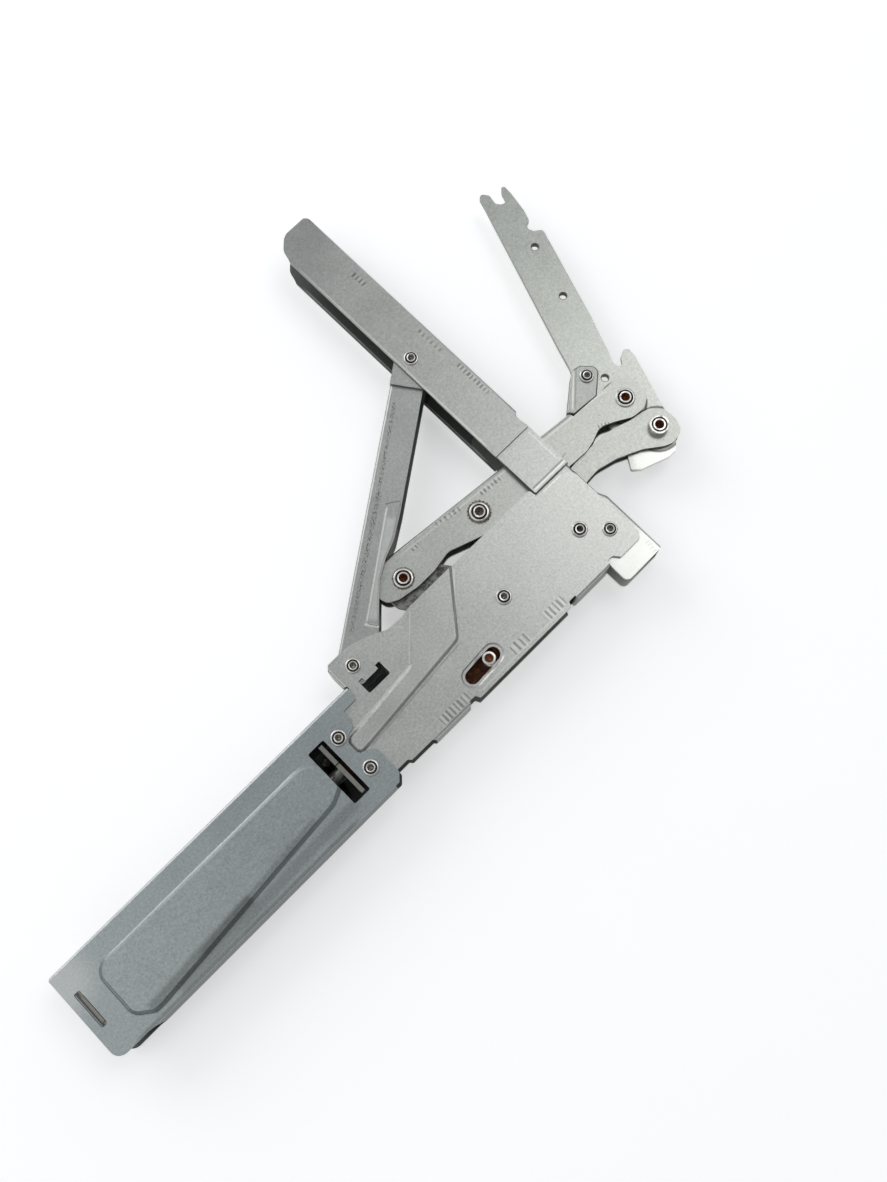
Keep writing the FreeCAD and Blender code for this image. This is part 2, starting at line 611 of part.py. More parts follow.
def make_upper_link():
    """One folded sheet: a channel whose web runs along the top and whose cheeks hold three pins."""
    link = new_piece("upper_link")
    rear, front = REAR_LINK_PIN, BLADE_PIN
    web_start = at(rear, -2.3, 11.2)
    web_end = at(front, -21.5, 11.9)
    shape = [
        at(rear, -7.5, -5.0, 5.0), at(rear, -13.1, -1.6, 5.0), at(rear, -11.4, 6.4, 6.0),
        web_start, web_end, at(front, -21.0, 9.6, 0.4), at(front, -6.5, 9.0, 6.0),
        at(front, 3.6, 8.6, 4.0), at(front, 8.3, 4.4, 4.5), at(front, 8.3, -5.0, 4.5),
        at(front, 2.6, -8.7, 6.0), at(front, -4.0, -8.0, 8.0), at(front, -10.5, -4.2, 8.0),
        at(front, -16.6, -1.2, 6.0), at(front, -23.0, -3.6, 6.0), at(front, -28.0, -4.7, 6.0),
        at(FRONT_LINK_PIN, 12.0, -11.4, 20.0), at(FRONT_LINK_PIN, -6.5, -7.8, 10.0),
        at(FRONT_LINK_PIN, -20.8, -2.6, 6.0), at(FRONT_LINK_PIN, -30.0, -4.4, 10.0),
        at(rear, 2.0, -6.6, 10.0),
    ]
    block = slab(link, "link", outline(shape), "Sizes.link_inner + Sizes.sheet_gauge")
    along = unit(web_end[0] - web_start[0], web_end[1] - web_start[1])
    gauge = size("sheet_gauge")
    drop = (along[1] * gauge, -along[0] * gauge)
    far = 40.0
    inside = [
        at(rear, -far, -far), at(front, far, -far), at(front, far, far), (web_end[0], web_end[1] + far),
        at(web_end, *drop), at(web_start, *drop), (web_start[0] + drop[0], web_start[1] + far),
        at(rear, -far, far),
    ]
    def on_web(end):
        across = (end.x - web_start[0]) * along[1] - (end.y - web_start[1]) * along[0]
        return abs(across) < 1e-4

    bend(link, "link_fold", block, on_web, LINK_FACE)
    hollow(link, "link_inside", outline(inside), "Sizes.link_inner")
    drill(link, "link_pin_holes", (REAR_LINK_PIN, FRONT_LINK_PIN, BLADE_PIN),
          "Sizes.link_pin_radius + Sizes.running_gap")
    place(link)


def lower_link_outline():
    hub, tail = REAR_PIN, TAIL_PIN
    return outline([
        at(hub, -8.5, -8.0, 8.0), at(hub, 3.0, -8.6, 8.0), at(hub, 30.0, 1.5, 20.0),
        at(tail, -37.5, 4.8, 12.0), at(tail, -31.0, 5.2, 10.0), at(tail, -22.0, 2.9, 10.0),
        at(tail, -11.5, -2.0, 10.0), at(tail, -4.6, -7.2, 3.0), at(tail, -1.0, -8.9, 5.0),
        at(tail, 5.6, -8.3, 5.0), at(tail, 7.9, -2.6, 6.0), at(tail, 7.4, 3.4, 6.0),
        at(tail, 3.6, 8.3, 5.0), at(tail, -0.8, 9.4, 8.0), at(tail, -7.0, 10.6, 8.0),
        at(tail, -13.0, 12.6, 8.0), at(tail, -18.0, 13.6, 8.0), at(tail, -26.0, 13.9, 10.0),
        at(tail, -38.0, 13.6, 25.0), at(hub, 30.0, 11.0, 25.0), at(hub, 2.0, 8.8, 8.0),
        at(hub, -8.5, 8.0, 8.0),
    ])


def make_plate(label, curves, inner, gauge, side, holes):
    """Flat plate on one side of the mid-plane, with its holes: (name, centres, radius)."""
    plate = new_piece(label)
    sign = "" if side == "front" else "-"
    sketch = sketch_on(plate, label + "_outline", curves, "%s(%s)" % (sign, inner))
    pad(plate, label + "_pad", sketch, gauge, False, side == "rear")
    for name, centres, radius in holes:
        drill(plate, "%s_%s" % (label, name), centres, radius)
    place(plate)


def make_lower_links():
    holes = (("hub_bore", (REAR_PIN,), "Sizes.body_pin_radius + Sizes.running_gap"),
             ("tail_hole", (TAIL_PIN,), "Sizes.link_pin_radius + Sizes.running_gap"))
    for side in ("front", "rear"):
        make_plate("lower_link_" + side, lower_link_outline(), "Sizes.lower_link_inner", "Sizes.sheet_gauge",
                   side, holes)


def make_thrust_links():
    hole = "Sizes.body_pin_radius + Sizes.running_gap + 0.35"
    holes = (("crank_hole", (CRANK_PIN,), hole),
             ("slide_hole", (SLIDE_PIN,), "Sizes.slide_pin_radius + Sizes.running_gap"))
    curves = hull(SLIDE_PIN, 4.6, CRANK_PIN, 4.6)
    for side in ("front", "rear"):
        make_plate("thrust_link_" + side, curves, "Sizes.lower_link_inner", "Sizes.sheet_gauge", side, holes)


# Door blade and lock clip

def make_door_blade():
    """Flat blade that slides into the door: hooked tip, side notch, slotted foot and heel."""
    blade = new_piece("door_blade")
    pin, clip, tail = BLADE_PIN, CLIP_PIN, TAIL_PIN
    tip = (pin[0] + 23.5, pin[1] + 107.9)
    shape = [
        at(tail, -5.5, -11.6, 4.0), at(tail, -0.8, -11.6, 3.0), at(tail, 7.0, -2.4, 5.0),
        at(tail, 8.5, 4.2, 3.0), at(tail, 9.5, 7.2, 6.0), at(tail, 12.5, 15.7, 8.0),
        at(pin, 18.2, 10.9, 3.0), at(pin, 18.7, 14.6, 1.8), at(pin, 17.0, 16.3, 1.4),
        at(pin, 14.0, 15.0, 3.0), at(pin, 11.4, 11.6, 1.4), at(pin, 9.6, 12.4, 1.2),
        at(pin, 9.5, 15.5, 3.0), at(pin, 12.0, 20.5, 5.0), at(pin, 14.5, 27.4, 6.0),
        at(pin, 18.0, 35.9, 20.0), at(tip, 8.8, -30.2, 1.5), at(tip, 9.0, -28.6, 1.0),
        at(tip, 6.0, -26.4, 1.6), at(tip, 5.0, -24.0, 1.6), at(tip, 6.4, -21.6, 1.4),
        at(tip, 8.2, -21.6, 1.0), at(tip, 9.9, -17.0, 12.0), at(tip, 11.8, -7.6, 12.0),
        at(tip, 12.3, -2.6, 1.2), at(tip, 11.0, -1.6, 0.9), at(tip, 9.4, -3.6, 1.4),
        at(tip, 7.8, -8.4, 1.8), at(tip, 5.2, -7.6, 1.8), at(tip, 3.6, -5.4, 1.2),
        at(tip, 4.6, -0.8, 1.8), at(tip, 2.6, 2.0, 1.2), at(tip, 0.7, 1.6, 1.0),
        at(tip, -0.8, -3.2, 2.0), at(clip, 1.4, 17.2, 20.0), at(clip, -1.6, 8.2, 6.0),
        at(clip, -4.4, 2.8, 4.0), at(clip, -5.2, -4.6, 6.0), at(pin, -10.8, 6.0, 10.0),
        at(pin, -12.0, -5.0, 8.0), at(tail, -17.0, 1.4, 3.0), at(tail, -18.8, -1.8, 2.0),
        at(tail, -20.6, -4.4, 0.8), at(tail, -17.6, -7.2, 3.0),
    ]
    slab(blade, "blade", outline(shape), "Sizes.blade_half")
    drill(blade, "blade_bore", (BLADE_PIN,), "Sizes.link_pin_radius + Sizes.running_gap")
    drill(blade, "clip_bore", (CLIP_PIN,), "Sizes.clip_pin_radius + Sizes.running_gap")
    drill(blade, "small_holes", (at(pin, 24.5, 75.9)[:2], at(pin, 16.55, 51.4)[:2], at(pin, 2.1, 12.9)[:2]), "1.6")
    heading = math.radians(70.3)
    run = size("blade_slot_run")
    far_end = at(tail, run * math.cos(heading), run * math.sin(heading))[:2]
    slot_radius = size("link_pin_radius") + size("blade_slot_gap")
    hollow(blade, "tail_slot", stadium(tail, far_end, slot_radius), "2 * Sizes.blade_half")
    place(blade)


def make_lock_clip():
    """One folded sheet: two cheeks on the clip pin and a web that stops against the upper link."""
    clip = new_piece("lock_clip")
    pin = CLIP_PIN
    web_angle = math.radians(218.4)
    along = (math.cos(web_angle), math.sin(web_angle))
    outer, gauge, web_start = 6.7, 1.4, 2.4
    normal = (along[1], -along[0])
    top = (pin[0] + normal[0] * outer + along[0] * 0.6, pin[1] + normal[1] * outer + along[1] * 0.6)
    foot = (pin[0] + normal[0] * outer + along[0] * 17.4, pin[1] + normal[1] * outer + along[1] * 17.4)
    shape = [
        at(foot, 0.0, 0.0, 0.4), at(foot, 2.0, -2.6, 1.0), at(pin, -3.5, -9.2, 1.5), at(pin, 5.5, -1.8, 3.0),
        at(pin, 5.5, 1.2, 3.0), at(pin, 1.2, 5.7, 3.0), at(pin, -2.2, 6.2, 2.5), at(top, 0.0, 0.0, 1.0),
    ]
    block = slab(clip, "clip", outline(shape), "Sizes.lower_link_inner + %s" % gauge)
    inner = outer - gauge
    far = 30.0

    def on_web(reach, rise):
        return (pin[0] + normal[0] * rise + along[0] * reach, pin[1] + normal[1] * rise + along[1] * reach)

    inside = [
        on_web(-far, -far), on_web(far, -far), on_web(far, inner), on_web(web_start, inner),
        on_web(web_start, far), on_web(-far, far),
    ]

    def on_fold(end):
        rise = (end.x - pin[0]) * normal[0] + (end.y - pin[1]) * normal[1]
        return abs(rise - outer) < 1e-4

    bend(clip, "clip_fold", block, on_fold, size("lower_link_inner") + gauge, "0.8")
    hollow(clip, "clip_inside", outline(inside), "Sizes.lower_link_inner")
    drill(clip, "clip_hole", (CLIP_PIN,), "Sizes.clip_pin_radius + Sizes.running_gap")
    place(clip)


# Spring drive

def make_push_rod():
    """Flat bar from the slide pin to the moving spring seat."""
    rod = new_piece("push_rod")
    half = size("rod_width") / 2
    seat = size("seat_front") + size("running_gap")
    tip_y = size("spring_axis") - 0.5
    slab(rod, "eye", hull(SLIDE_PIN, 5.2, (SLIDE_PIN[0] - 6.0, SLIDE_PIN[1] + 0.85), 4.4), "Sizes.lever_half")
    bar = [
        (seat, tip_y - half), (SLIDE_PIN[0], SLIDE_PIN[1] - half), (SLIDE_PIN[0], SLIDE_PIN[1] + half),
        (seat, tip_y + half),
    ]
    slab(rod, "bar", outline(bar), "Sizes.lever_half")
    drill(rod, "rod_bore", (SLIDE_PIN,), "Sizes.slide_pin_radius + Sizes.running_gap")
    place(rod)


def make_spring_seat():
    """Plate across the case that the push rod drives against the spring."""
    seat = new_piece("spring_seat")
    front = size("seat_front")
    low, high = -15.5, 9.0
    slab(seat, "seat", outline(rectangle(front - size("seat_gauge"), front, low, high)),
         "Sizes.body_face - 2 * Sizes.side_gap")
    slit = rectangle(front - 2 * size("seat_gauge"), front + 1.0, -1.3, -0.5)
    for side, sign, turned in (("front", "", True), ("rear", "-", False)):
        sketch = sketch_on(seat, "seat_slit_%s_outline" % side, outline(slit),
                           sign + "(Sizes.body_face - 2.2)")
        pocket(seat, "seat_slit_" + side, sketch, "3", False, turned)
    place(seat)


def make_spring_anchor():
    """Plate at the far end of the case whose two tongues stand in the end slots."""
    anchor = new_piece("spring_anchor")
    front = size("anchor_front")
    back = front - 1.2
    slab(anchor, "anchor", outline(rectangle(back, front, -12.5, 6.0)), "Sizes.body_face - Sizes.side_gap")
    slab(anchor, "anchor_tongues", outline(rectangle(back, front, -8.0, 4.5)),
         "Sizes.body_face + Sizes.case_gauge + Sizes.side_gap")
    place(anchor)


def make_main_spring():
    """Round-wire compression spring between the seat and the anchor, its axis along the case."""
    wire = size("spring_wire")
    coil_radius = size("spring_outer") - wire / 2
    clear = size("running_gap")
    start = size("anchor_front") + clear + wire / 2
    end = size("seat_front") - size("seat_gauge") - clear - wire / 2
    helix = doc.addObject("Part::Helix", "SpringHelix")
    helix.Height = end - start
    helix.Pitch = (end - start) / size("spring_turns")
    helix.Radius = coil_radius
    section = doc.addObject("Part::Circle", "SpringSection")
    section.setExpression("Radius", "Sizes.spring_wire / 2")
    section.Placement = FreeCAD.Placement(Vector(coil_radius, 0, 0), FreeCAD.Rotation(Vector(1, 0, 0), 90))
    spring = doc.addObject("Part::Sweep", "MainSpring")
    spring.Sections = [section]
    spring.Spine = (helix, [])
    spring.Solid = True
    spring.Frenet = True
    spring.Label = "main_spring"
    along_case = FreeCAD.Rotation(Vector(0, 1, 0), 90)
    spring.Placement = FreeCAD.Placement(ORIGIN + Vector(start, size("spring_axis"), 0), along_case)
    bodies.append(spring)


def make_guide_rod():
    """Round rod fixed to the seat, which keeps the spring straight."""
    rod = new_piece("guide_rod")
    sketch = circle_sketch(rod, "rod_circle", (REAR_PIN,), "Sizes.guide_radius")
    spring_room = "Sizes.seat_front - Sizes.seat_gauge - Sizes.anchor_front"
    pad(rod, "rod_pad", sketch, spring_room + " - Sizes.guide_end_gap", False)
    end = size("seat_front") - size("seat_gauge")
    base = ORIGIN + Vector(end, size("spring_axis"), 0)
    rod.Placement = FreeCAD.Placement(base, FreeCAD.Rotation(Vector(0, 1, 0), -90))


# Pins, rivets and spacers

def make_pin(label, centre, shank, head, face, bore):
    """Tubular pin: shank, a flange on each outer face, a raised collar and a hole through it."""
    pin = new_piece(label)
    shank_r, head_r, bore_r = size(shank), size(head), bore
    flange = face + size("head_height")
    rim = flange + size("collar_height")
    collar = bore_r + size("collar_wall")
    ring = collar + 0.25 * (head_r - collar)
    profile = [
        (bore_r, -rim), (collar, -rim), (ring, -flange), (head_r, -flange + 0.3),
        (head_r, -face), (shank_r, -face), (shank_r, face), (head_r, face),
        (head_r, flange - 0.3), (ring, flange), (collar, rim), (bore_r, rim),
    ]
    sketch = sketch_on(pin, label + "_profile", outline(profile), None, "XZ_Plane")
    turned = pin.newObject("PartDesign::Revolution", label + "_turned")
    turned.Profile = sketch
    turned.ReferenceAxis = (sketch, ["V_Axis"])
    turned.Angle = 360
    place(pin, centre)


def make_slide_pin():
    """Tube that runs in both slots of the body and carries the thrust links and the push rod."""
    pin = new_piece("slide_pin")
    curves = [Part.Circle(Vector(), Z_AXIS, 2.8), Part.Circle(Vector(), Z_AXIS, 1.7)]
    sketch = sketch_on(pin, "tube_circles", curves)
    for index, radius in enumerate(("Sizes.slide_pin_radius", "Sizes.slide_bore")):
        sketch.addConstraint(Sketcher.Constraint("Radius", index, 1.0 + index))
        sketch.setExpression("Constraints[%d]" % index, radius)
    pad(pin, "tube", sketch, "2 * (Sizes.body_face + 0.6)")
    place(pin, SLIDE_PIN)


def make_spacer_pair(label, centre, bore, inner, outer):
    """Two rings that hold the middle piece of a pivot central."""
    for side, sign in (("front", ""), ("rear", "-")):
        ring = new_piece("%s_%s" % (label, side))
        curves = [Part.Circle(Vector(), Z_AXIS, 5.0), Part.Circle(Vector(), Z_AXIS, 2.0)]
        low = "%s(%s + Sizes.side_gap)" % (sign, inner)
        sketch = sketch_on(ring, "ring_circles_" + side, curves, low)
        for index, radius in enumerate(("Sizes.spacer_radius", bore + " + Sizes.running_gap")):
            sketch.addConstraint(Sketcher.Constraint("Radius", index, 5.0 - 3.0 * index))
            sketch.setExpression("Constraints[%d]" % index, radius)
        thickness = "%s - (%s) - 2 * Sizes.side_gap" % (outer, inner)
        pad(ring, "ring_" + side, sketch, thickness, False, side == "rear")
        place(ring, centre)


def make_pins():
    fine, wide = 1.3, 1.8
    make_pin("rear_lever_pin", REAR_PIN, "body_pin_radius", "body_pin_head", BODY_FACE, fine)
    make_pin("front_lever_pin", FRONT_PIN, "body_pin_radius", "body_pin_head", BODY_FACE, fine)
    make_pin("bracket_rivet", BRACKET_RIVET, "rivet_radius", "rivet_head", BODY_FACE, fine)
    make_pin("strut_foot_rivet", STRUT_FOOT, "rivet_radius", "rivet_head", BODY_FACE, fine)
    make_pin("strut_head_rivet", STRUT_HEAD, "rivet_radius", "rivet_head", ARM_FACE, fine)
    make_pin("case_rivet_upper", CASE_RIVET_UPPER, "rivet_radius", "body_pin_head", CASE_FACE, fine)
    make_pin("case_rivet_lower", CASE_RIVET_LOWER, "rivet_radius", "body_pin_head", CASE_FACE, fine)
    make_pin("rear_link_pin", REAR_LINK_PIN, "link_pin_radius", "link_pin_head", LINK_FACE, wide)
    make_pin("front_link_pin", FRONT_LINK_PIN, "link_pin_radius", "link_pin_head", LINK_FACE, wide)
    make_pin("blade_pin", BLADE_PIN, "link_pin_radius", "link_pin_head", LINK_FACE, wide)
    make_pin("crank_pin", CRANK_PIN, "body_pin_radius", "body_pin_head", LOWER_LINK_FACE + 0.1, fine)
    make_pin("clip_pin", CLIP_PIN, "clip_pin_radius", "rivet_head", size("lower_link_inner") + 1.5, 0.8)
    make_slide_pin()


def make_tail_pin():
    """Tall tubular pin of the lower links: a shank between them and a wide tube that stands proud."""
    pin = new_piece("tail_pin")
    shank_r, head_r, bore_r = size("link_pin_radius"), size("link_pin_head"), 1.8
    seat = LOWER_LINK_FACE
    tube = seat + size("tail_stand")
    flange = tube + 0.6
    shoulder = shank_r + 0.4
    profile = [
        (bore_r, -flange), (head_r - 0.4, -flange), (head_r, -tube), (shoulder, -tube + 0.4),
        (shoulder, -seat), (shank_r, -seat), (shank_r, seat), (shoulder, seat),
        (shoulder, tube - 0.4), (head_r, tube), (head_r - 0.4, flange), (bore_r, flange),
    ]
    sketch = sketch_on(pin, "tail_pin_profile", outline(profile), None, "XZ_Plane")
    turned = pin.newObject("PartDesign::Revolution", "tail_pin_turned")
    turned.Profile = sketch
    turned.ReferenceAxis = (sketch, ["V_Axis"])
    turned.Angle = 360
    place(pin, TAIL_PIN)


def make_spacers():
    lever, link = "Sizes.lever_half", "Sizes.link_inner"
    make_spacer_pair("front_lever_spacer", FRONT_PIN, "Sizes.body_pin_radius", lever,
                     "Sizes.body_face - 2 * Sizes.sheet_gauge")
    make_spacer_pair("rear_lever_spacer", REAR_PIN, "Sizes.body_pin_radius",
                     "Sizes.lower_link_inner + Sizes.sheet_gauge", "Sizes.body_face - Sizes.sheet_gauge")
    make_spacer_pair("rear_link_spacer", REAR_LINK_PIN, "Sizes.link_pin_radius", lever, link)
    make_spacer_pair("front_link_spacer", FRONT_LINK_PIN, "Sizes.link_pin_radius", lever, link)
    make_spacer_pair("blade_spacer", BLADE_PIN, "Sizes.link_pin_radius", "Sizes.blade_half", link)


make_spring_case()
make_body_shell()
make_front_bracket()
make_arm_channel()
make_strut()
make_front_lever()
make_rear_lever()
make_upper_link()
make_lower_links()
make_thrust_links()
make_door_blade()
make_lock_clip()
make_push_rod()
make_spring_seat()
make_spring_anchor()
make_main_spring()
make_guide_rod()
make_pins()
make_tail_pin()
make_spacers()

doc.recompute()

faults = []
for item in doc.Objects:
    if "Invalid" in item.State or "Error" in item.State:
        faults.append("%s is %s" % (item.Name, item.State))
for piece in bodies:
    if piece.Shape.isNull() or not piece.Shape.isValid():
        faults.append("%s has no valid shape" % piece.Label)
    elif len(piece.Shape.Solids) != 1:
        faults.append("%s has %d solids" % (piece.Label, len(piece.Shape.Solids)))
if faults:
    raise SystemExit("\n".join(faults))

for piece in bodies:
    piece.Shape.exportStep("parts/%s.step" % piece.Label)
    print("%-24s %9.1f mm3" % (piece.Label, piece.Shape.Volume))
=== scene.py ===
import logging
import math
from dataclasses import dataclass, field
from enum import Enum
from typing import Any, Dict, List, Optional, Sequence, Tuple, Union

import bpy
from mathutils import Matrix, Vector


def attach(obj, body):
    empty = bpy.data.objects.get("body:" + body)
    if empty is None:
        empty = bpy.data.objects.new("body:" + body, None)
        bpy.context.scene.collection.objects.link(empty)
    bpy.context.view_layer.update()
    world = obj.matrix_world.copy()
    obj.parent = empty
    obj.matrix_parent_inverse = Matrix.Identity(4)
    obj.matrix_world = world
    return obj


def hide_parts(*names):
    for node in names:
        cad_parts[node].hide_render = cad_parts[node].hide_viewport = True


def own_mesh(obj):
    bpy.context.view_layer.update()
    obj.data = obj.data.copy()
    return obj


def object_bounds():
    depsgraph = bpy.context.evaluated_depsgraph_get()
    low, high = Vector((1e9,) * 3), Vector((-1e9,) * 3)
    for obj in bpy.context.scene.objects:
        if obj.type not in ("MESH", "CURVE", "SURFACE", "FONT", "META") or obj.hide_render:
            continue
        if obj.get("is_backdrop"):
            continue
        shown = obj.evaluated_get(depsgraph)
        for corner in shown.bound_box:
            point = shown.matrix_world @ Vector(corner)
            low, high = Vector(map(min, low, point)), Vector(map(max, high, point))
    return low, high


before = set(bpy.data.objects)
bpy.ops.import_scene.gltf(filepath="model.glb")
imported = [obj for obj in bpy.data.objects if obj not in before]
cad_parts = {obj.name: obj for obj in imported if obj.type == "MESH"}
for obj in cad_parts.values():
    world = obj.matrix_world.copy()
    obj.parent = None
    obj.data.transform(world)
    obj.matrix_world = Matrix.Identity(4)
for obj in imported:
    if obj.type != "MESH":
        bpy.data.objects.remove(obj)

# Looks of a sprung oven door hinge. Lengths that follow the drawing are millimetres in the
# drawing frame, whose origin is the rear lever pin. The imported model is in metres, and its
# origin is the middle of the front web.

LOG = logging.getLogger("oven_door_hinge")
MM = 0.001
WELD = 1e-6
WEB_FACE = 60.2
WEB_MIDDLE = -15.3
BODY_FACE = 9.0
CASE_FACE = 10.0
ARM_FACE = 10.3
LINK_FACE = 5.7
LOWER_LINK_FACE = 3.9
CLIP_FACE = 3.9

Point = Tuple[float, float]
Colour = Tuple[float, float, float]
Value = Union["Signal", float, int]

REAR_PIN: Point = (0.0, 0.0)
FRONT_PIN: Point = (41.4, -2.16)
REAR_LINK_PIN: Point = (-22.70, 34.56)
FRONT_LINK_PIN: Point = (18.70, 32.40)
BLADE_PIN: Point = (96.5, 24.1)
TAIL_PIN: Point = (97.5, 5.8)
CLIP_PIN: Point = (92.96, 42.55)
STRUT_FOOT: Point = (-62.1, 22.7)
STRUT_HEAD: Point = (44.93, 98.53)
CRANK_PIN: Point = (2.9, -14.0)
SLIDE_PIN: Point = (-21.87, -13.28)
BRACKET_RIVET: Point = (50.12, -10.7)
CASE_RIVET_UPPER: Point = (-85.95, 6.0)
CASE_RIVET_LOWER: Point = (-85.0, -11.1)

# Dark tone of painted shade in the blade's holes and painted shadow under the links' ends.
PAINTED_SHADE_TONE: Colour = (0.07, 0.065, 0.055)
RUST: Colour = (0.135, 0.045, 0.014)
# Pale tone of rubbed metal, and of painted highlights.
RUBBED_AND_HIGHLIGHT: Colour = (0.86, 0.86, 0.82)
MOSTLY_DARK = {"pale": 0.12, "dark": 0.55}
BLADE_TURN = 70.3
STRUT_TURN = 35.3


def in_part(point: Point, height: float = 0.0) -> Vector:
    """Place of a drawing point in the part's own frame.

    Args:
        point: X and Y in the drawing frame, in millimetres.
        height: distance from the mid-plane, in millimetres.

    Returns:
        The place in metres.
    """
    return Vector((point[0] - WEB_FACE, point[1] - WEB_MIDDLE, height)) * MM


class Bore(Enum):
    """State of the recess in a pin's head."""

    CLEAN = "clean"
    GREASY = "greasy"
    RUSTY = "rusty"


class Signal:
    """A node's output that takes arithmetic. Each operator adds a Math node."""

    def __init__(self, desk: "FinishDesk", socket: bpy.types.NodeSocket) -> None:
        """Keeps the output and the desk whose node tree it belongs to."""
        self.desk = desk
        self.socket = socket

    def math(self, operation: str, *values: Value) -> "Signal":
        """Result of one Math node.

        Args:
            operation: the Math node's operation.
            values: its inputs in order.

        Returns:
            The node's output.
        """
        return self.desk.add("ShaderNodeMath", {"operation": operation}, dict(enumerate(values)))

    def __add__(self, other: Value) -> "Signal":
        """Sum."""
        return self.math("ADD", self, other)

    def __radd__(self, other: Value) -> "Signal":
        """Sum with a number on the left."""
        return self.math("ADD", other, self)

    def __sub__(self, other: Value) -> "Signal":
        """Difference."""
        return self.math("SUBTRACT", self, other)

    def __rsub__(self, other: Value) -> "Signal":
        """Difference from a number on the left."""
        return self.math("SUBTRACT", other, self)

    def __mul__(self, other: Value) -> "Signal":
        """Product."""
        return self.math("MULTIPLY", self, other)

    def __rmul__(self, other: Value) -> "Signal":
        """Product with a number on the left."""
        return self.math("MULTIPLY", other, self)

    def __pow__(self, other: Value) -> "Signal":
        """Power."""
        return self.math("POWER", self, other)

    def __abs__(self) -> "Signal":
        """Size without sign."""
        return self.math("ABSOLUTE", self)

    def top(self, other: Value) -> "Signal":
        """The larger of the two."""
        return self.math("MAXIMUM", self, other)

    def ramp(self, low: float, high: float, start: float = 0.0, end: float = 1.0) -> "Signal":
        """Smooth step between two levels.

        Args:
            low: level at which the result is start.
            high: level at which the result is end.
            start: result at and below low.
            end: result at and above high.

        Returns:
            The stepped value.
        """
        names = {"From Min": low, "From Max": high, "To Min": start, "To Max": end, "Value": self}
        return self.desk.add("ShaderNodeMapRange", {"interpolation_type": "SMOOTHSTEP"}, names)

    def fall(self, low: float, high: float) -> "Signal":
        """One at and below the low level, nought at and above the high one."""
        return self.ramp(low, high, 1.0, 0.0)


